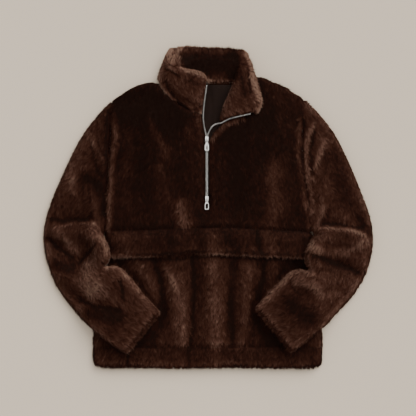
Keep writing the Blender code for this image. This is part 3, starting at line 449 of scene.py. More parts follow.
class Paint:
    """One material; its nodes come from one method."""

    def __init__(self, name):
        self.material = bpy.data.materials.new(name)
        self.material.use_nodes = True
        self.tree = self.material.node_tree
        self.shader = self.tree.nodes["Principled BSDF"]

    def node(self, kind, settings, values, output=0):
        made = self.tree.nodes.new(kind)
        for key, value in settings.items():
            if key == "stops":
                ramp = made.color_ramp
                for place, colour in value:
                    stop = ramp.elements.new(place)
                    stop.color = (*colour, 1.0)
                ramp.elements.remove(ramp.elements[0])
                ramp.elements.remove(ramp.elements[-1])
            else:
                setattr(made, key, value)
        for key, value in values.items():
            self.put(made.inputs[key], value)
        return Value(self, made.outputs[output])

    def put(self, socket, value):
        if isinstance(value, Value):
            self.tree.links.new(value.socket, socket)
        elif socket.type == "RGBA":
            socket.default_value = (*value, 1.0)
        else:
            socket.default_value = value

    def shade(self, **values):
        for key, value in values.items():
            self.put(self.shader.inputs[key.replace("_", " ")], value)

    def place(self):
        return self.node("ShaderNodeTexCoord", {}, {}, "Object")

    def noise(self, vector, scale, detail=3.0, rough=0.55):
        values = {"Vector": vector, "Scale": scale, "Detail": detail, "Roughness": rough}
        return self.node("ShaderNodeTexNoise", {}, values, "Fac")

    def spread(self, value, low, high):
        """Smooth step of a value between two limits."""
        values = {"Value": value, "From Min": low, "From Max": high}
        return self.node("ShaderNodeMapRange", {"interpolation_type": "SMOOTHSTEP"}, values)

    def mix(self, share, first, second):
        return self.node("ShaderNodeMix", {"data_type": "RGBA"}, {0: share, 6: first, 7: second}, 2)

    def bump(self, height, distance, strength=1.0):
        values = {"Height": height, "Distance": distance, "Strength": strength}
        return self.node("ShaderNodeBump", {}, values, "Normal")


def pile_material():
    """Fur strands: the UV map's u is a strand's tone, its v runs from root to tip."""
    paint = Paint("brown_pile")
    uv = paint.node("ShaderNodeUVMap", {"uv_map": "OFBake"}, {})
    tone = paint.node("ShaderNodeSeparateXYZ", {}, {0: uv})
    along = Value(paint, tone.socket.node.outputs[1])
    stops = (
        (0.02, (0.0060, 0.0011, 0.0005)),
        (0.20, (0.0180, 0.0036, 0.0020)),
        (0.42, (0.0430, 0.0145, 0.0080)),
        (0.60, (0.0840, 0.0370, 0.0260)),
        (0.75, (0.1370, 0.0720, 0.0490)),
        (0.95, (0.2300, 0.1370, 0.0980)),
    )
    # Darker towards the root: painted shade deep in the pile, between the tufts
    level = tone * (along * 0.54 + 0.58)
    colour = paint.node("ShaderNodeValToRGB", {"stops": stops}, {0: level})
    paint.shade(Base_Color=colour, Roughness=0.6, Specular_IOR_Level=0.08)
    paint.shade(Specular_Tint=(1.0, 0.75, 0.6))
    paint.shade(Sheen_Weight=0.2, Sheen_Roughness=0.5, Sheen_Tint=(0.75, 0.42, 0.30))
    return paint.material


def ground_material():
    """Knitted back of the fur, seen only between the strands."""
    paint = Paint("fur_ground")
    place = paint.place()
    patches = paint.noise(place, 60.0)
    fine = paint.noise(place, 900.0)
    share = paint.spread(patches * 0.6 + fine * 0.4, 0.3, 0.7)
    colour = paint.mix(share, (0.0090, 0.0024, 0.0014), (0.0200, 0.0062, 0.0038))
    paint.shade(Base_Color=colour, Roughness=0.95, Specular_IOR_Level=0.05)
    paint.shade(Normal=paint.bump(fine, 0.0006))
    return paint.material


def lining_material():
    """Smooth satin weave in dark brown."""
    paint = Paint("woven_lining")
    place = paint.place()
    across = {"Vector": place, "Scale": 700.0, "Distortion": 0.4}
    weave = paint.node("ShaderNodeTexWave", {"bands_direction": "X"}, across)
    cloud = paint.noise(place, 25.0)
    share = paint.spread(cloud * 0.7 + weave * 0.3, 0.25, 0.75)
    colour = paint.mix(share, (0.0085, 0.0038, 0.0024), (0.0150, 0.0070, 0.0045))
    paint.shade(Base_Color=colour, Roughness=0.7, Specular_IOR_Level=0.1)
    paint.shade(Normal=paint.bump(weave, 0.0002, 0.4))
    return paint.material


def tape_material():
    paint = Paint("zip_tape_twill")
    place = paint.place()
    across = {"Vector": place, "Scale": 450.0}
    twill = paint.node("ShaderNodeTexWave", {"bands_direction": "DIAGONAL"}, across)
    colour = paint.mix(twill, (0.010, 0.0045, 0.003), (0.026, 0.013, 0.009))
    paint.shade(Base_Color=colour, Roughness=0.85, Specular_IOR_Level=0.2)
    paint.shade(Normal=paint.bump(twill, 0.0002, 0.5))
    return paint.material


def thread_material():
    paint = Paint("brown_thread")
    across = {"Vector": paint.place(), "Scale": 1400.0}
    twist = paint.node("ShaderNodeTexWave", {"bands_direction": "DIAGONAL"}, across)
    colour = paint.mix(twist, (0.020, 0.009, 0.006), (0.060, 0.031, 0.022))
    paint.shade(Base_Color=colour, Roughness=0.6, Specular_IOR_Level=0.3)
    return paint.material


def metal_material(name, bright, dull, rough):
    paint = Paint(name)
    place = paint.place()
    wear = paint.noise(place, 700.0, 4.0)
    share = paint.spread(wear, 0.35, 0.7)
    paint.shade(Base_Color=paint.mix(share, bright, dull), Metallic=1.0)
    paint.shade(Roughness=share * 0.14 + rough)
    return paint.material


def clean_copy(node, name):
    """A CAD node's mesh as its own welded object."""
    obj = new_object(name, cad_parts[node].data.copy())
    obj.data.materials.clear()
    edit_all(obj)
    bpy.ops.mesh.remove_doubles(threshold=0.00002)
    bpy.ops.mesh.tris_convert_to_quads(face_threshold=radians(50), shape_threshold=radians(60))
    bpy.ops.object.mode_set(mode="OBJECT")
    return obj


def read_points(obj):
    mesh = obj.data
    places = np.empty(len(mesh.vertices) * 3)
    mesh.vertices.foreach_get("co", places)
    normals = np.empty(len(mesh.vertices) * 3)
    mesh.vertices.foreach_get("normal", normals)
    return places.reshape(-1, 3), normals.reshape(-1, 3)


def write_points(obj, places):
    obj.data.vertices.foreach_set("co", places.ravel())
    obj.data.update()


def unit(rows):
    return rows / np.maximum(np.linalg.norm(rows, axis=1, keepdims=True), 1e-9)


def picture_places(places):
    """Where places stand in the picture, in pixels."""
    return places[:, 0] / PIXEL + MIDDLE_X, MIDDLE_Y - places[:, 1] / PIXEL


def fold_lift_and_shade(name, places, broad=True):
    """How far a piece's folds raise or sink its pile at places, about -0.3 to 0.3, which also sets the
    painted highlight or painted shade of its pile.
    """
    x, y = picture_places(places)
    total = np.zeros(len(places))
    for half, lift_and_shade, *points in FOLDS_AND_SHADES.get(name, ()):
        if half > SHADE_ONLY_HALF and not broad:
            continue
        nearest = np.full(len(places), 1e9)
        for (x0, y0), (x1, y1) in zip(points, points[1:]):
            wide, high = x1 - x0, y1 - y0
            share = np.clip(((x - x0) * wide + (y - y0) * high) / (wide * wide + high * high), 0.0, 1.0)
            gap = (x - x0 - share * wide) ** 2 + (y - y0 - share * high) ** 2
            nearest = np.minimum(nearest, gap)
        total += lift_and_shade * np.exp(-nearest / (half * half))
    return total


def inset_shell(obj, name, around):
    """Move a shell's surface inside its solid by the pile's depth, and raise its folds."""
    tree = BVHTree.FromObject(obj, bpy.context.evaluated_depsgraph_get())
    places, normals = read_points(obj)
    raised = fold_lift_and_shade(name, places, False) * FOLD_RAISE
    moved = places.copy()
    for index in range(len(places)):
        start = Vector(places[index])
        inward = -Vector(normals[index])
        hit = tree.ray_cast(start + inward * RAY_START, inward, WALL_LOOK)
        deep = hit[3] if hit[0] is not None else WALL_GUESS
        step = np.array(inward) * min(SHELL_INSET, SHELL_SHARE * deep)
        sideways = Vector((-inward.x, -inward.y, 0.0))
        share = SIDE_INSET_SHARE
        if sideways.length > SIDE_LEAST:
            sideways.normalize()
            side_start = start + sideways * 2.0 * RAY_START
            if around.ray_cast(side_start, sideways, SIDE_LOOK)[0] is not None:
                share = 0.0
        step[:2] *= share
        moved[index] += step
        moved[index, 2] += raised[index] * max(normals[index, 2], 0.0)
    write_points(obj, moved)


def solids_tree():
    """All fur solids as one tree, to see which places lie open."""
    verts = []
    faces = []
    for name, *rest in FUR_PIECES:
        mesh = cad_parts[name].data
        start = len(verts)
        verts += [vert.co.copy() for vert in mesh.vertices]
        faces += [[start + index for index in face.vertices] for face in mesh.polygons]
    return BVHTree.FromPolygons(verts, faces)


def ring(count, first, rise):
    """Directions evenly round the vertical, from a first angle."""
    turns = [2.0 * pi * step / count + first for step in range(count)]
    return [Vector((cos(turn), sin(turn), rise)).normalized() for turn in turns]


# Ways along which a place is looked at, from high up and from low, and a low view's share
HIGH_WAYS = [Vector((0, 0, 1))] + ring(6, 0.0, 0.72 / 0.7)
LOW_WAYS = ring(8, 0.2, 0.18)
LOW_SHARE = 0.75
OPEN_START = 0.006
OPEN_LOOK = 0.5
GRAZING = 0.05


def open_share(tree, place, normal):
    """How openly a place shows: 1 from high up, less from low angles only, 0 if covered."""
    start = place + normal * OPEN_START
    for ways, share in ((HIGH_WAYS, 1.0), (LOW_WAYS, LOW_SHARE)):
        for way in ways:
            if way.dot(normal) >= GRAZING and tree.ray_cast(start, way, OPEN_LOOK)[0] is None:
                return share
    return 0.0


def arm_way(line, places):
    """Direction along an arm at places near its line."""
    total = np.zeros_like(places)
    for (x0, y0), (x1, y1) in zip(line, line[1:]):
        step = np.array((x1 - x0, y1 - y0)) * MM
        middle = np.array((x0 + x1, y0 + y1)) * 0.5 * MM
        gap = ((places[:, :2] - middle) ** 2).sum(axis=1)
        near = np.exp(-gap / 0.055 ** 2) + 1e-9
        total[:, :2] += near[:, None] * step / np.linalg.norm(step)
    return unit(total)


def collar_way(places):
    """Direction of the collar's pile, from the nearest rows of its table."""
    x, y = picture_places(places)
    total = np.zeros_like(places)
    for middle_x, middle_y, reach, way in COLLAR_NAP:
        near = np.exp(-((x - middle_x) ** 2 + (y - middle_y) ** 2) / reach ** 2) + 1e-6
        total += near[:, None] * np.array(way)
    return total


def nap(name, places):
    """The way the pile lies at places on a piece."""
    if name == "sleeve_left":
        return arm_way(LEFT_ARM, places)
    if name == "sleeve_right":
        return arm_way(RIGHT_ARM, places)
    if name == "collar":
        return collar_way(places)
    way = np.zeros_like(places)
    way[:, 1] = -1.0
    way[:, 0] = places[:, 0] * 0.6
    return way


def sample_roots(obj, tree, count, rng):
    """Random places and normals on a shell, most of them where it shows."""
    mesh = obj.data
    mesh.calc_loop_triangles()
    places, normals = read_points(obj)
    corners = np.empty(len(mesh.loop_triangles) * 3, np.int32)
    mesh.loop_triangles.foreach_get("vertices", corners)
    corners = corners.reshape(-1, 3)
    a, b, c = places[corners[:, 0]], places[corners[:, 1]], places[corners[:, 2]]
    area = 0.5 * np.linalg.norm(np.cross(b - a, c - a), axis=1)
    middle = (a + b + c) / 3.0
    facing = unit(normals[corners].mean(axis=1))
    shows = np.array([open_share(tree, Vector(m), Vector(n)) for m, n in zip(middle, facing)])
    weight = area * np.maximum(shows, 0.015)
    total = np.cumsum(weight)
    chosen = np.searchsorted(total, rng.random(count) * total[-1])
    one = np.sqrt(rng.random(count))
    two = rng.random(count)
    shares = np.stack((1.0 - one, one * (1.0 - two), one * two), axis=1)
    roots = (places[corners[chosen]] * shares[:, :, None]).sum(axis=1)
    ups = unit((normals[corners[chosen]] * shares[:, :, None]).sum(axis=1))
    return roots, ups


def nearest_tree(places):
    """Tree that finds the nearest of some places."""
    tree = KDTree(len(places))
    for index, place in enumerate(places):
        tree.insert(place, index)
    tree.balance()
    return tree


def tuft_of(roots, rng):
    """Number of the tuft that each root belongs to, and the tufts' centres."""
    order = rng.permutation(len(roots))
    cells = {}
    centres = []
    for index in order:
        key = tuple(np.floor(roots[index] / TUFT_SPACING).astype(int))
        if key not in cells:
            cells[key] = len(centres)
            centres.append(roots[index])
    tree = nearest_tree(centres)
    numbers = np.array([tree.find(root)[1] for root in roots])
    return numbers, np.array(centres)


def cloud(places, scale, shift):
    """Smooth noise between about -1 and 1 at places."""
    away = Vector((shift, 0.7 * shift, 0.3 * shift))
    return np.array([noise.noise(Vector(place) * scale + away) for place in places])


def clouds(places, rows, seed):
    """Sum of smooth noises at places; each row gives a scale, a shift and a strength."""
    return sum(strength * cloud(places, scale, seed + shift) for scale, shift, strength in rows)


def scatter(tufts, spread, rng):
    """Random change for each strand: a part shared by its tuft, and a part of its own."""
    shared = rng.normal(0.0, spread[0], tufts.max() + 1)[tufts]
    return shared + rng.normal(0.0, spread[1], len(tufts))


def turned(way, up, angle):
    """Vectors in the surface turned about its normal."""
    side = np.cross(up, way)
    return way * np.cos(angle)[:, None] + side * np.sin(angle)[:, None]


def zip_line(rows, side):
    """One side's meeting edge as a smooth curve in mm with its tape widths, the way along it,
    and the way out from the chain."""
    rows = np.array(rows, float)
    line = []
    for index in range(len(rows) - 1):
        before = rows[max(index - 1, 0)]
        first, second = rows[index], rows[index + 1]
        after = rows[min(index + 2, len(rows) - 1)]
        for share in np.arange(0.0, 1.0, 0.1):
            cubic = 2 * first + (second - before) * share
            cubic += (2 * before - 5 * first + 4 * second - after) * share ** 2
            cubic += (3 * first - before - 3 * second + after) * share ** 3
            line.append(0.5 * cubic)
    line.append(rows[-1])
    line = np.array(line)
    along = np.gradient(line[:, :3], axis=0)
    out = np.stack((along[:, 1], -along[:, 0], np.zeros(len(line))), axis=1) * side
    return line, unit(along), unit(out)


def part_strand(strand, root, middle, along, tree):
    """Push one strand's points sideways off a row of teeth, to the side its root is on."""
    number, gap = tree.find((root[0], root[1], 0.0))[1:]
    if gap > ROOT_REACH:
        return
    tangent = along[number, :2] / max(np.linalg.norm(along[number, :2]), 1e-6)
    across = np.array((tangent[1], -tangent[0]))
    way = 1.0 if (root[:2] - middle[number, :2]) @ across > 0.0 else -1.0
    for point in strand:
        place, far = tree.find((point[0], point[1], 0.0))[1:]
        clear = ZIP_CLEAR
        for low_y, high_y in SLIDER_ENDS:
            if low_y * MM < point[1] < high_y * MM:
                clear = SLIDER_CLEAR
        reach = (point[:2] - middle[place, :2]) @ across * way
        if reach < clear and far < POINT_REACH:
            point[:2] += across * way * (clear - reach)


def keep_clear(points, roots):
    """Move strand points off the zip's teeth and sliders, and under its pulls."""
    for rows, side in ((ZIP_LEFT, -1.0), (ZIP_RIGHT, 1.0)):
        line, along, out = zip_line(rows, side)
        middle = (line[:, :3] + out * TOOTH_MIDDLE) * MM
        tree = nearest_tree(middle * (1.0, 1.0, 0.0))
        low, high = middle.min(axis=0) - POINT_REACH, middle.max(axis=0) + POINT_REACH
        inside = ((roots[:, :2] > low[:2]) & (roots[:, :2] < high[:2])).all(axis=1)
        for index in np.nonzero(inside)[0]:
            part_strand(points[index], roots[index], middle, along, tree)
    for x0, x1, y0, y1 in PULL_ROOM:
        inside = (points[:, :, 0] > x0 * MM) & (points[:, :, 0] < x1 * MM)
        inside &= (points[:, :, 1] > y0 * MM) & (points[:, :, 1] < y1 * MM)
        points[:, :, 2] = np.where(inside, np.minimum(points[:, :, 2], PULL_UNDER), points[:, :, 2])


def blurred(heights, reach):
    """A grid of heights smoothed over a reach."""
    half = int(3.0 * reach / MAP_CELL)
    steps = np.arange(-half, half + 1) * MAP_CELL / reach
    weights = np.exp(-0.5 * steps ** 2)
    weights /= weights.sum()
    rows = np.apply_along_axis(np.convolve, 0, heights, weights, "same")
    return np.apply_along_axis(np.convolve, 1, rows, weights, "same")


def relief_shade_map(tree):
    """Grid of painted highlight on rims and painted shade in hollows, from the solids' tops."""
    cells = int(2.0 * MAP_HALF / MAP_CELL)
    heights = np.zeros((cells, cells))
    for column in range(cells):
        for row in range(cells):
            x = (column + 0.5) * MAP_CELL - MAP_HALF
            y = (row + 0.5) * MAP_CELL - MAP_HALF
            hit = tree.ray_cast(Vector((x, y, 0.2)), Vector((0.0, 0.0, -1.0)), 0.25)[0]
            if hit is not None:
                heights[column, row] = hit.z
    relief_shade = np.zeros_like(heights)
    for reach, full, change in (FINE_RELIEF_SHADE, BROAD_RELIEF_SHADE):
        relief_shade += change * np.tanh((heights - blurred(heights, reach)) / full)
    return relief_shade


def relief_shade_at(relief_shade, places):
    """Value of the painted shade grid at places, between its cells."""
    at = (places[:, :2] + MAP_HALF) / MAP_CELL - 0.5
    at = np.clip(at, 0.0, len(relief_shade) - 2.001)
    low = at.astype(int)
    share = at - low
    i, j = low[:, 0], low[:, 1]
    under = relief_shade[i, j] * (1.0 - share[:, 0]) + relief_shade[i + 1, j] * share[:, 0]
    over = relief_shade[i, j + 1] * (1.0 - share[:, 0]) + relief_shade[i + 1, j + 1] * share[:, 0]
    return under * (1.0 - share[:, 1]) + over * share[:, 1]


def strand_ways(name, roots, ups, tufts, seed, rng):
    """The way each strand lies along the cloth, and how light the streak is that it is in."""
    way = nap(name, roots)
    if name != "collar":
        way[:, 2] = np.where((way * ups).sum(axis=1) < 0.0, 0.25, -0.4)
    way = unit(way - ups * (way * ups).sum(axis=1, keepdims=True))
    side = np.cross(ups, way)
    streak_at = np.full_like(roots, 0.1 * seed)
    streak_at[:, 0] = (roots * side).sum(axis=1) * STREAK_SCALES[0]
    streak_at[:, 1] = (roots * way).sum(axis=1) * STREAK_SCALES[1]
    sway = clouds(roots, WAY_CLOUDS, seed) + scatter(tufts, WAY_SPREAD, rng)
    return turned(way, ups, sway), cloud(streak_at, 1.0, 0.0)


def wall_share(ups):
    """How upright the cloth is: 0 where it lies flat, 1 on a side wall."""
    return 1.0 - np.clip(np.abs(ups[:, 2]), 0.0, 1.0)


def strand_lean(ups, lift_and_shade, tufts, rng):
    """Angle of each strand from the cloth: steeper on raised folds and side walls."""
    lean = PILE_LEAN + FOLD_LEAN * np.maximum(lift_and_shade, 0.0) + WALL_LEAN * wall_share(ups)
    return np.clip(lean + scatter(tufts, LEAN_SPREAD, rng), 0.04, 1.1)


def strand_length(share, ups, lift_and_shade, guard, rng):
    """Length of each strand: shorter in hollows, on side walls, below, and on the far edges."""
    length = PILE_LENGTH * share * rng.uniform(0.75, 1.15, len(ups))
    length *= 1.0 + np.clip(1.3 * np.minimum(lift_and_shade, 0.0), -0.45, 0.0)
    length *= (1.0 - 0.2 * wall_share(ups)) * np.clip(1.0 + 1.3 * ups[:, 2], 0.35, 1.0)
    length *= 1.0 - 0.4 * np.clip(ups[:, 1], 0.0, 1.0)
    length[guard] *= GUARD_LENGTH
    return length


def risen(ups, way, angle, length):
    """Steps of some length along the cloth, turned up from it by an angle."""
    return length[:, None] * (np.sin(angle)[:, None] * ups + np.cos(angle)[:, None] * way)


def strand_run(roots, ups, way, lean, length, centres):
    """Middle and tip of each strand, which bends down and leans to its tuft's centre."""
    middle = roots + risen(ups, way, lean + 0.12, 0.45 * length)
    tip = middle + risen(ups, way, lean - 0.08, 0.55 * length)
    to_centre = centres - roots
    to_centre -= ups * (to_centre * ups).sum(axis=1, keepdims=True)
    return middle + 0.12 * to_centre, tip + 0.60 * to_centre


def strand_corners(roots, ups, middle, tip, rng):
    """Four points of each strand, a tapered ribbon that faces upwards and off the cloth."""
    face = unit(ups + np.clip(1.6 * ups[:, 2:] + 1.6, 0.0, 1.6) * UP)
    across = unit(np.cross(unit(tip - roots), face))
    across *= (0.5 * PILE_WIDTH * rng.uniform(0.75, 1.25, len(roots)))[:, None]
    return np.stack((roots - across, roots + across, middle - 0.9 * across, tip), axis=1)


def strand_shine(ups, way, tufts, rng):
    """Normals of the strands: the cloth's, tipped upwards, along the nap, and by tuft."""
    lit = np.clip(ups[:, 2:] + 1.0, 0.0, 1.0)
    jitter = rng.normal(0.0, TUFT_SHINE, (tufts.max() + 1, 3))[tufts]
    return unit(ups + NAP_SHINE * way + lit * UP + jitter)


def grow_pile(shell, name, count, tone, length_share, tree, relief_shade, material, seed):
    """One mesh of tapered strands that stand on a shell."""
    rng = np.random.default_rng(seed)
    roots, ups = sample_roots(shell, tree, count, rng)
    tufts, centres = tuft_of(roots, rng)
    lift_and_shade = fold_lift_and_shade(name, roots)
    way, streak = strand_ways(name, roots, ups, tufts, seed, rng)
    lean = strand_lean(ups, lift_and_shade, tufts, rng)
    guard = rng.random(count) < GUARD_SHARE
    length = strand_length(length_share, ups, lift_and_shade, guard, rng)
    middle, tip = strand_run(roots, ups, way, lean, length, centres[tufts])
    points = strand_corners(roots, ups, middle, tip, rng)
    if name in ("front_bodice", "collar"):
        keep_clear(points, roots)
    points[:, :, 2] = np.maximum(points[:, :, 2], FLOOR_CLEAR)
    # Painted light in the pile's tone: sheen on rims, highlight on raised folds and rises, shade in
    # hollows and creases, and the fold rows' painted shadows
    painted_rim_sheen = (1.0 - np.clip(ups[:, 2], 0.0, 1.0)) ** 2
    tones = tone + FOLD_PAINTED_SHADE * lift_and_shade + RIM_PAINTED_SHEEN * painted_rim_sheen + relief_shade_at(relief_shade, tip)
    tones += clouds(roots, TONE_CLOUDS, seed) + STREAK_TONE * streak + GUARD_TONE * guard
    tones += scatter(tufts, TONE_SPREAD, rng)
    tones = np.clip(tones, 0.0, 0.99 - TONE_CELL)
    shine = strand_shine(ups, way, tufts, rng)
    return strand_mesh(name + "_pile", points, tones, shine, material)


def strand_mesh(name, points, tones, shine, material):
    """Mesh of strands of two triangles each, with its UV map of tone and length."""
    count = len(points)
    mesh = bpy.data.meshes.new(name)
    mesh.vertices.add(count * 4)
    mesh.vertices.foreach_set("co", points.reshape(-1))
    start = np.arange(count)[:, None] * 4
    loops = start + np.array((0, 1, 2, 2, 1, 3))
    mesh.loops.add(count * 6)
    mesh.loops.foreach_set("vertex_index", loops.reshape(-1).astype(np.int32))
    mesh.polygons.add(count * 2)
    firsts = np.arange(count)[:, None] * 6 + np.array((0, 3))
    mesh.polygons.foreach_set("loop_start", firsts.reshape(-1).astype(np.int32))
    mesh.update(calc_edges=True)
    uv = mesh.uv_layers.new(name="OFBake")
    cells = np.empty((count, 6, 2))
    cells[:, :, 0] = tones[:, None] + TONE_CELL * np.array((0.0, 1.0, 0.2, 0.2, 1.0, 0.5))
    cells[:, :, 1] = np.array((0.0, 0.0, 0.45, 0.45, 0.0, 1.0))
    uv.data.foreach_set("uv", cells.reshape(-1))
    mesh.polygons.foreach_set("use_smooth", np.ones(count * 2, bool))
    mesh.materials.append(material)
    mesh.normals_split_custom_set_from_vertices(np.repeat(shine, 4, axis=0).tolist())
    return new_object(name, mesh)


def dress_fur():
    """Shell and pile for every fur piece."""
    pile = pile_material()
    ground = ground_material()
    tree = solids_tree()
    relief_shade = relief_shade_map(tree)
    for number, (name, count, tone, length_share, cut) in enumerate(FUR_PIECES):
        shell = clean_copy(name, name + "_cloth")
        apply_modifier(shell, "SUBSURF", levels=1, render_levels=1)
        inset_shell(shell, name, tree)
        shell.data.materials.append(ground)
        choose(shell)
        bpy.ops.object.shade_smooth()
        hairs = grow_pile(shell, name, count, tone, length_share, tree, relief_shade, pile, 100 + number)
        for piece in (shell, hairs):
            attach(piece, GARMENT)
        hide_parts(name)


def select_facing(obj, axis, sign):
    """In edit mode, select only the faces that look along one axis."""
    bpy.ops.mesh.select_all(action="DESELECT")
    bpy.ops.object.mode_set(mode="OBJECT")
    for face in obj.data.polygons:
        face.select = face.normal[axis] * sign > 0.9
    bpy.ops.object.mode_set(mode="EDIT")


def model_tooth(metal):
    """One metal tooth at the origin: its head towards +X, its length along X."""
    deselect()
    size = tuple(side * MM for side in TOOTH_SIZE)
    bpy.ops.mesh.primitive_cube_add(size=1.0, location=(0.0, 0.0, 0.5 * size[2]), scale=size)
    tooth = bpy.context.object
    bpy.ops.object.transform_apply(location=True, rotation=True, scale=True)
    bpy.ops.object.mode_set(mode="EDIT")
    select_facing(tooth, 0, 1)
    bpy.ops.transform.resize(value=(1.0, 0.72, 0.78))
    bpy.ops.mesh.select_all(action="SELECT")
    bpy.ops.mesh.bevel(offset=0.28 * MM, segments=1, affect="EDGES")
    bpy.ops.object.mode_set(mode="OBJECT")
    tooth.data.materials.append(metal)
    return tooth


def row_of_teeth(tooth, name, rows, side, start):
    """Copies of the tooth along one side of the zip, joined."""
    line, along, out = zip_line(rows, side)
    steps = np.linalg.norm(np.diff(line[:, :3], axis=0), axis=1)
    run = np.concatenate(((0.0,), np.cumsum(steps)))
    copies = []
    for place in np.arange(start, run[-1] - 0.5, TOOTH_PITCH):
        spot = [np.interp(place, run, line[:, axis]) for axis in range(3)]
        ahead = Vector([np.interp(place, run, along[:, axis]) for axis in range(3)]).normalized()
        outward = Vector([np.interp(place, run, out[:, axis]) for axis in range(3)]).normalized()
        up = outward.cross(ahead) * (1.0 if side > 0 else -1.0)
        if up.z < 0:
            up = -up
        head = -outward
        middle = Vector(spot) - head * TOOTH_MIDDLE + head * TOOTH_HEAD + up * TOOTH_RISE
        turn = Matrix((head, up.cross(head), up)).transposed().to_4x4()
        piece = new_object(name, tooth.data.copy())
        piece.data.transform(Matrix.Translation(middle * MM) @ turn)
        copies.append(piece)
    return join_all(copies, name)


def zip_tape(name, rows, side, cloth):
    """Woven tape of one side of the zip as a thin closed ribbon."""
    line, along, out = zip_line(rows, side)
    verts = []
    faces = []
    for index in range(len(line)):
        inner = (line[index, :3] + out[index] * 0.6) * MM
        outer = (line[index, :3] + out[index] * (3.0 + line[index, 3])) * MM
        verts += [tuple(inner), tuple(outer)]
        if index:
            last = 2 * index
            faces.append((last - 2, last - 1, last + 1, last))
    mesh = bpy.data.meshes.new(name)
    mesh.from_pydata(verts, [], faces)
    tape = new_object(name, mesh)
    edit_all(tape)
    bpy.ops.mesh.normals_make_consistent(inside=False)
    bpy.ops.object.mode_set(mode="OBJECT")
    if mesh.polygons[0].normal.z < 0:
        mesh.flip_normals()
    apply_modifier(tape, "SOLIDIFY", thickness=TAPE_THICK * MM, offset=1.0)
    tape.data.materials.append(cloth)
    bpy.ops.object.shade_smooth_by_angle(angle=radians(40))
    return tape


def add_loop(curve, points):
    """Closed straight-sided spline of a flat curve, points in mm."""
    loop = curve.splines.new("POLY")
    loop.points.add(len(points) - 1)
    for point, (x, y) in zip(loop.points, points):
        point.co = (x * MM, y * MM, 0.0, 1.0)
    loop.use_cyclic_u = True


def round_slot(half, foot, head, corner):
    """Outline of an upright slot with rounded corners."""
    points = []
    top, bottom = head - corner, foot + corner
    for side, middle_y, first in ((1, top, 0), (-1, top, 90), (-1, bottom, 180), (1, bottom, 270)):
        middle_x = PULL_X + side * (half - corner)
        for step in range(5):
            turn = radians(first + 22.5 * step)
            points.append((middle_x + corner * cos(turn), middle_y + corner * sin(turn)))
    return points


def pull_outline(foot, head, half):
    """Outline of a pull: a wide foot, shoulders, and a narrow neck."""
    right = [(half - 1.6, foot), (half - 0.5, foot + 0.5), (half, foot + 1.6), (half, foot + 12.5)]
    right += [(half - 0.9, foot + 15.5), (2.9, foot + 18.0)]
    right += [(2.9, head - 1.8), (2.3, head - 0.5), (1.2, head)]
    left = [(-x, y) for x, y in reversed(right)]
    return [(PULL_X + x, y) for x, y in right + left]


def pull_plate(name, foot, head, half, slot, metal):
    """Flat polished pull: a narrow neck with an eye, a wider foot with a long slot."""
    curve = bpy.data.curves.new(name, "CURVE")
    curve.dimensions = "2D"
    curve.fill_mode = "BOTH"
    curve.bevel_depth = PULL_ROUND * MM
    curve.bevel_resolution = 2
    curve.offset = -PULL_ROUND * MM
    curve.extrude = (0.5 * PULL_THICK - PULL_ROUND) * MM
    add_loop(curve, pull_outline(foot, head, half))
    add_loop(curve, round_slot(*slot, SLOT_CORNER))
    eye_half, eye_foot, eye_head = PULL_EYE
    add_loop(curve, round_slot(eye_half, head - eye_foot, head - eye_head, EYE_CORNER))
    plate = new_object(name, curve)
    plate.location = (0.0, 0.0, PULL_Z * MM)
    choose(plate)
    bpy.ops.object.convert(target="MESH")
    bpy.ops.object.transform_apply(location=True, rotation=True, scale=True)
    plate = bpy.context.object
    plate.data.materials.clear()
    plate.data.materials.append(metal)
    edit_all(plate)
    bpy.ops.mesh.remove_doubles(threshold=0.00001)
    bpy.ops.mesh.normals_make_consistent(inside=False)
    bpy.ops.object.mode_set(mode="OBJECT")
    bpy.ops.object.shade_smooth_by_angle(angle=radians(40))
    return plate


def dress_zip():
    """Tapes, teeth, and a polished finish for the sliders and pulls."""
    metal = metal_material("zip_nickel", (0.60, 0.59, 0.57), (0.40, 0.39, 0.37), 0.22)
    tooth_metal = metal_material("zip_teeth_nickel", (0.62, 0.61, 0.58), (0.38, 0.37, 0.35), 0.28)
    cloth = tape_material()
    tooth = model_tooth(tooth_metal)
    sides = (("zip_left", ZIP_LEFT, -1.0, 0.8, 0.0024), ("zip_right", ZIP_RIGHT, 1.0, 2.2, 0.0023))
    for name, rows, side, start, area in sides:
        tape = zip_tape(name + "_tape", rows, side, cloth)
        teeth = row_of_teeth(tooth, name + "_teeth", rows, side, start)
        for piece, finish in ((tape, "zip_tape"), (teeth, "zip_metal")):
            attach(piece, GARMENT)
        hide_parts(name)
    bpy.data.objects.remove(tooth)
    for node, body, foot, head, half, slot in PULL_SHAPES:
        plate = pull_plate(node + "_plate", foot, head, half, slot, metal)
        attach(plate, body)
        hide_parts(node)
    for name in ("slider_upper", "slider_lower"):
        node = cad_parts[name]
        node.data.materials.clear()
        node.data.materials.append(metal)


def dress_lining():
    """Lining inside the back of the neck: a thin sheet with soft upright folds."""
    low_x, high_x, low_y, high_y = LINING_SIDES
    deselect()
    bpy.ops.mesh.primitive_grid_add(x_subdivisions=75, y_subdivisions=60, size=1.0)
    lining = bpy.context.object
    lining.name = "neck_lining_cloth"
    places, normals = read_points(lining)
    places[:, 0] = (low_x + (places[:, 0] + 0.5) * (high_x - low_x)) * MM
    places[:, 1] = (low_y + (places[:, 1] + 0.5) * (high_y - low_y)) * MM
    height = np.full(len(places), LINING_TOP)
    shown = np.clip((places[:, 1] / MM - LINING_FOLDS_FROM) / LINING_FOLDS_GROW, 0.0, 1.0)
    swing, turn = LINING_SWING
    for middle, wide, high in LINING_FOLDS:
        bend = middle + swing * np.sin(places[:, 1] / MM * turn)
        height += shown * high * np.exp(-((places[:, 0] / MM - bend) / wide) ** 2)
    places[:, 2] = height * MM
    write_points(lining, places)
    apply_modifier(lining, "SOLIDIFY", thickness=LINING_THICK * MM, offset=-1.0)
    lining.data.materials.append(lining_material())
    bpy.ops.object.shade_smooth()
    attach(lining, GARMENT)
    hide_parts("neck_lining")
    stitches = neck_stitches()


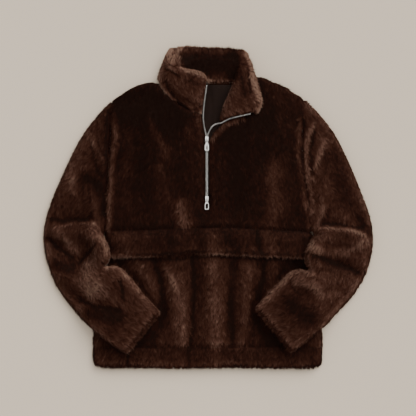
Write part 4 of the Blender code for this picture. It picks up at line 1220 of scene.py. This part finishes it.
def neck_stitches():
    """Row of short thread stitches under the collar's seam, on the lining."""
    first, last, row_y = STITCH_ROW
    radius, length, rise = (side * MM for side in STITCH_SIZE)
    made = []
    for place in np.arange(first, last, STITCH_STEP):
        deselect()
        spot = (place * MM, row_y * MM, LINING_TOP * MM + rise)
        bpy.ops.mesh.primitive_cylinder_add(vertices=8, radius=radius, depth=length, location=spot)
        stitch = bpy.context.object
        stitch.rotation_euler = (0.0, pi / 2.0, 0.0)
        bpy.ops.object.transform_apply(location=True, rotation=True, scale=True)
        apply_modifier(stitch, "BEVEL", width=0.12 * MM, segments=2)
        made.append(stitch)
    row = join_all(made, "neck_stitches")
    row.data.materials.append(thread_material())
    bpy.ops.object.shade_smooth()
    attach(row, GARMENT)
    return row


def lay_floor():
    """Plain pale floor just under the garment."""
    deselect()
    bpy.ops.mesh.primitive_plane_add(size=12.0, location=(0, 0, -0.0005))
    floor = bpy.context.object
    floor.name = "floor"
    paint = Paint("pale_floor")
    grain = paint.noise(paint.place(), 2.0)
    paint.shade(Base_Color=paint.mix(grain, *FLOOR_TONES), Roughness=0.95)
    paint.shade(Specular_IOR_Level=0.1)
    floor.data.materials.append(paint.material)


def add_light(name, kind, power, colour, way):
    """Light of a kind that shines along a way."""
    data = bpy.data.lights.new(name, kind)
    data.energy = power
    data.color = colour
    lamp = new_object(name, data)
    lamp.rotation_euler = Vector(way).to_track_quat("-Z", "Y").to_euler()
    return lamp


def add_lights():
    """Room light, a broad key light from the upper right, and a round light overhead."""
    scene = bpy.context.scene
    world = bpy.data.worlds.new("studio") if scene.world is None else scene.world
    scene.world = world
    world.use_nodes = True
    room = world.node_tree.nodes["Background"].inputs
    room["Color"].default_value = ROOM_COLOUR
    room["Strength"].default_value = ROOM_POWER
    key = add_light("key", "SUN", KEY_POWER, KEY_COLOUR, KEY_WAY)
    key.data.angle = KEY_ANGLE
    place = Vector(OVERHEAD_PLACE)
    overhead = add_light("overhead", "AREA", OVERHEAD_POWER, OVERHEAD_COLOUR, -place)
    overhead.data.shape = "DISK"
    overhead.data.size = OVERHEAD_SIZE
    overhead.location = place


def add_camera():
    """Camera that looks straight down, framed as the picture is."""
    camera = bpy.data.cameras.new("camera")
    camera.sensor_width = SENSOR_WIDE
    camera.lens = SENSOR_WIDE * CAMERA_FAR / FRAME_WIDE
    camera.clip_end = 50.0
    eye = new_object("camera", camera)
    eye.location = CAMERA_PLACE
    bpy.context.scene.camera = eye


lay_floor()
add_lights()
add_camera()
dress_fur()
dress_zip()
dress_lining()
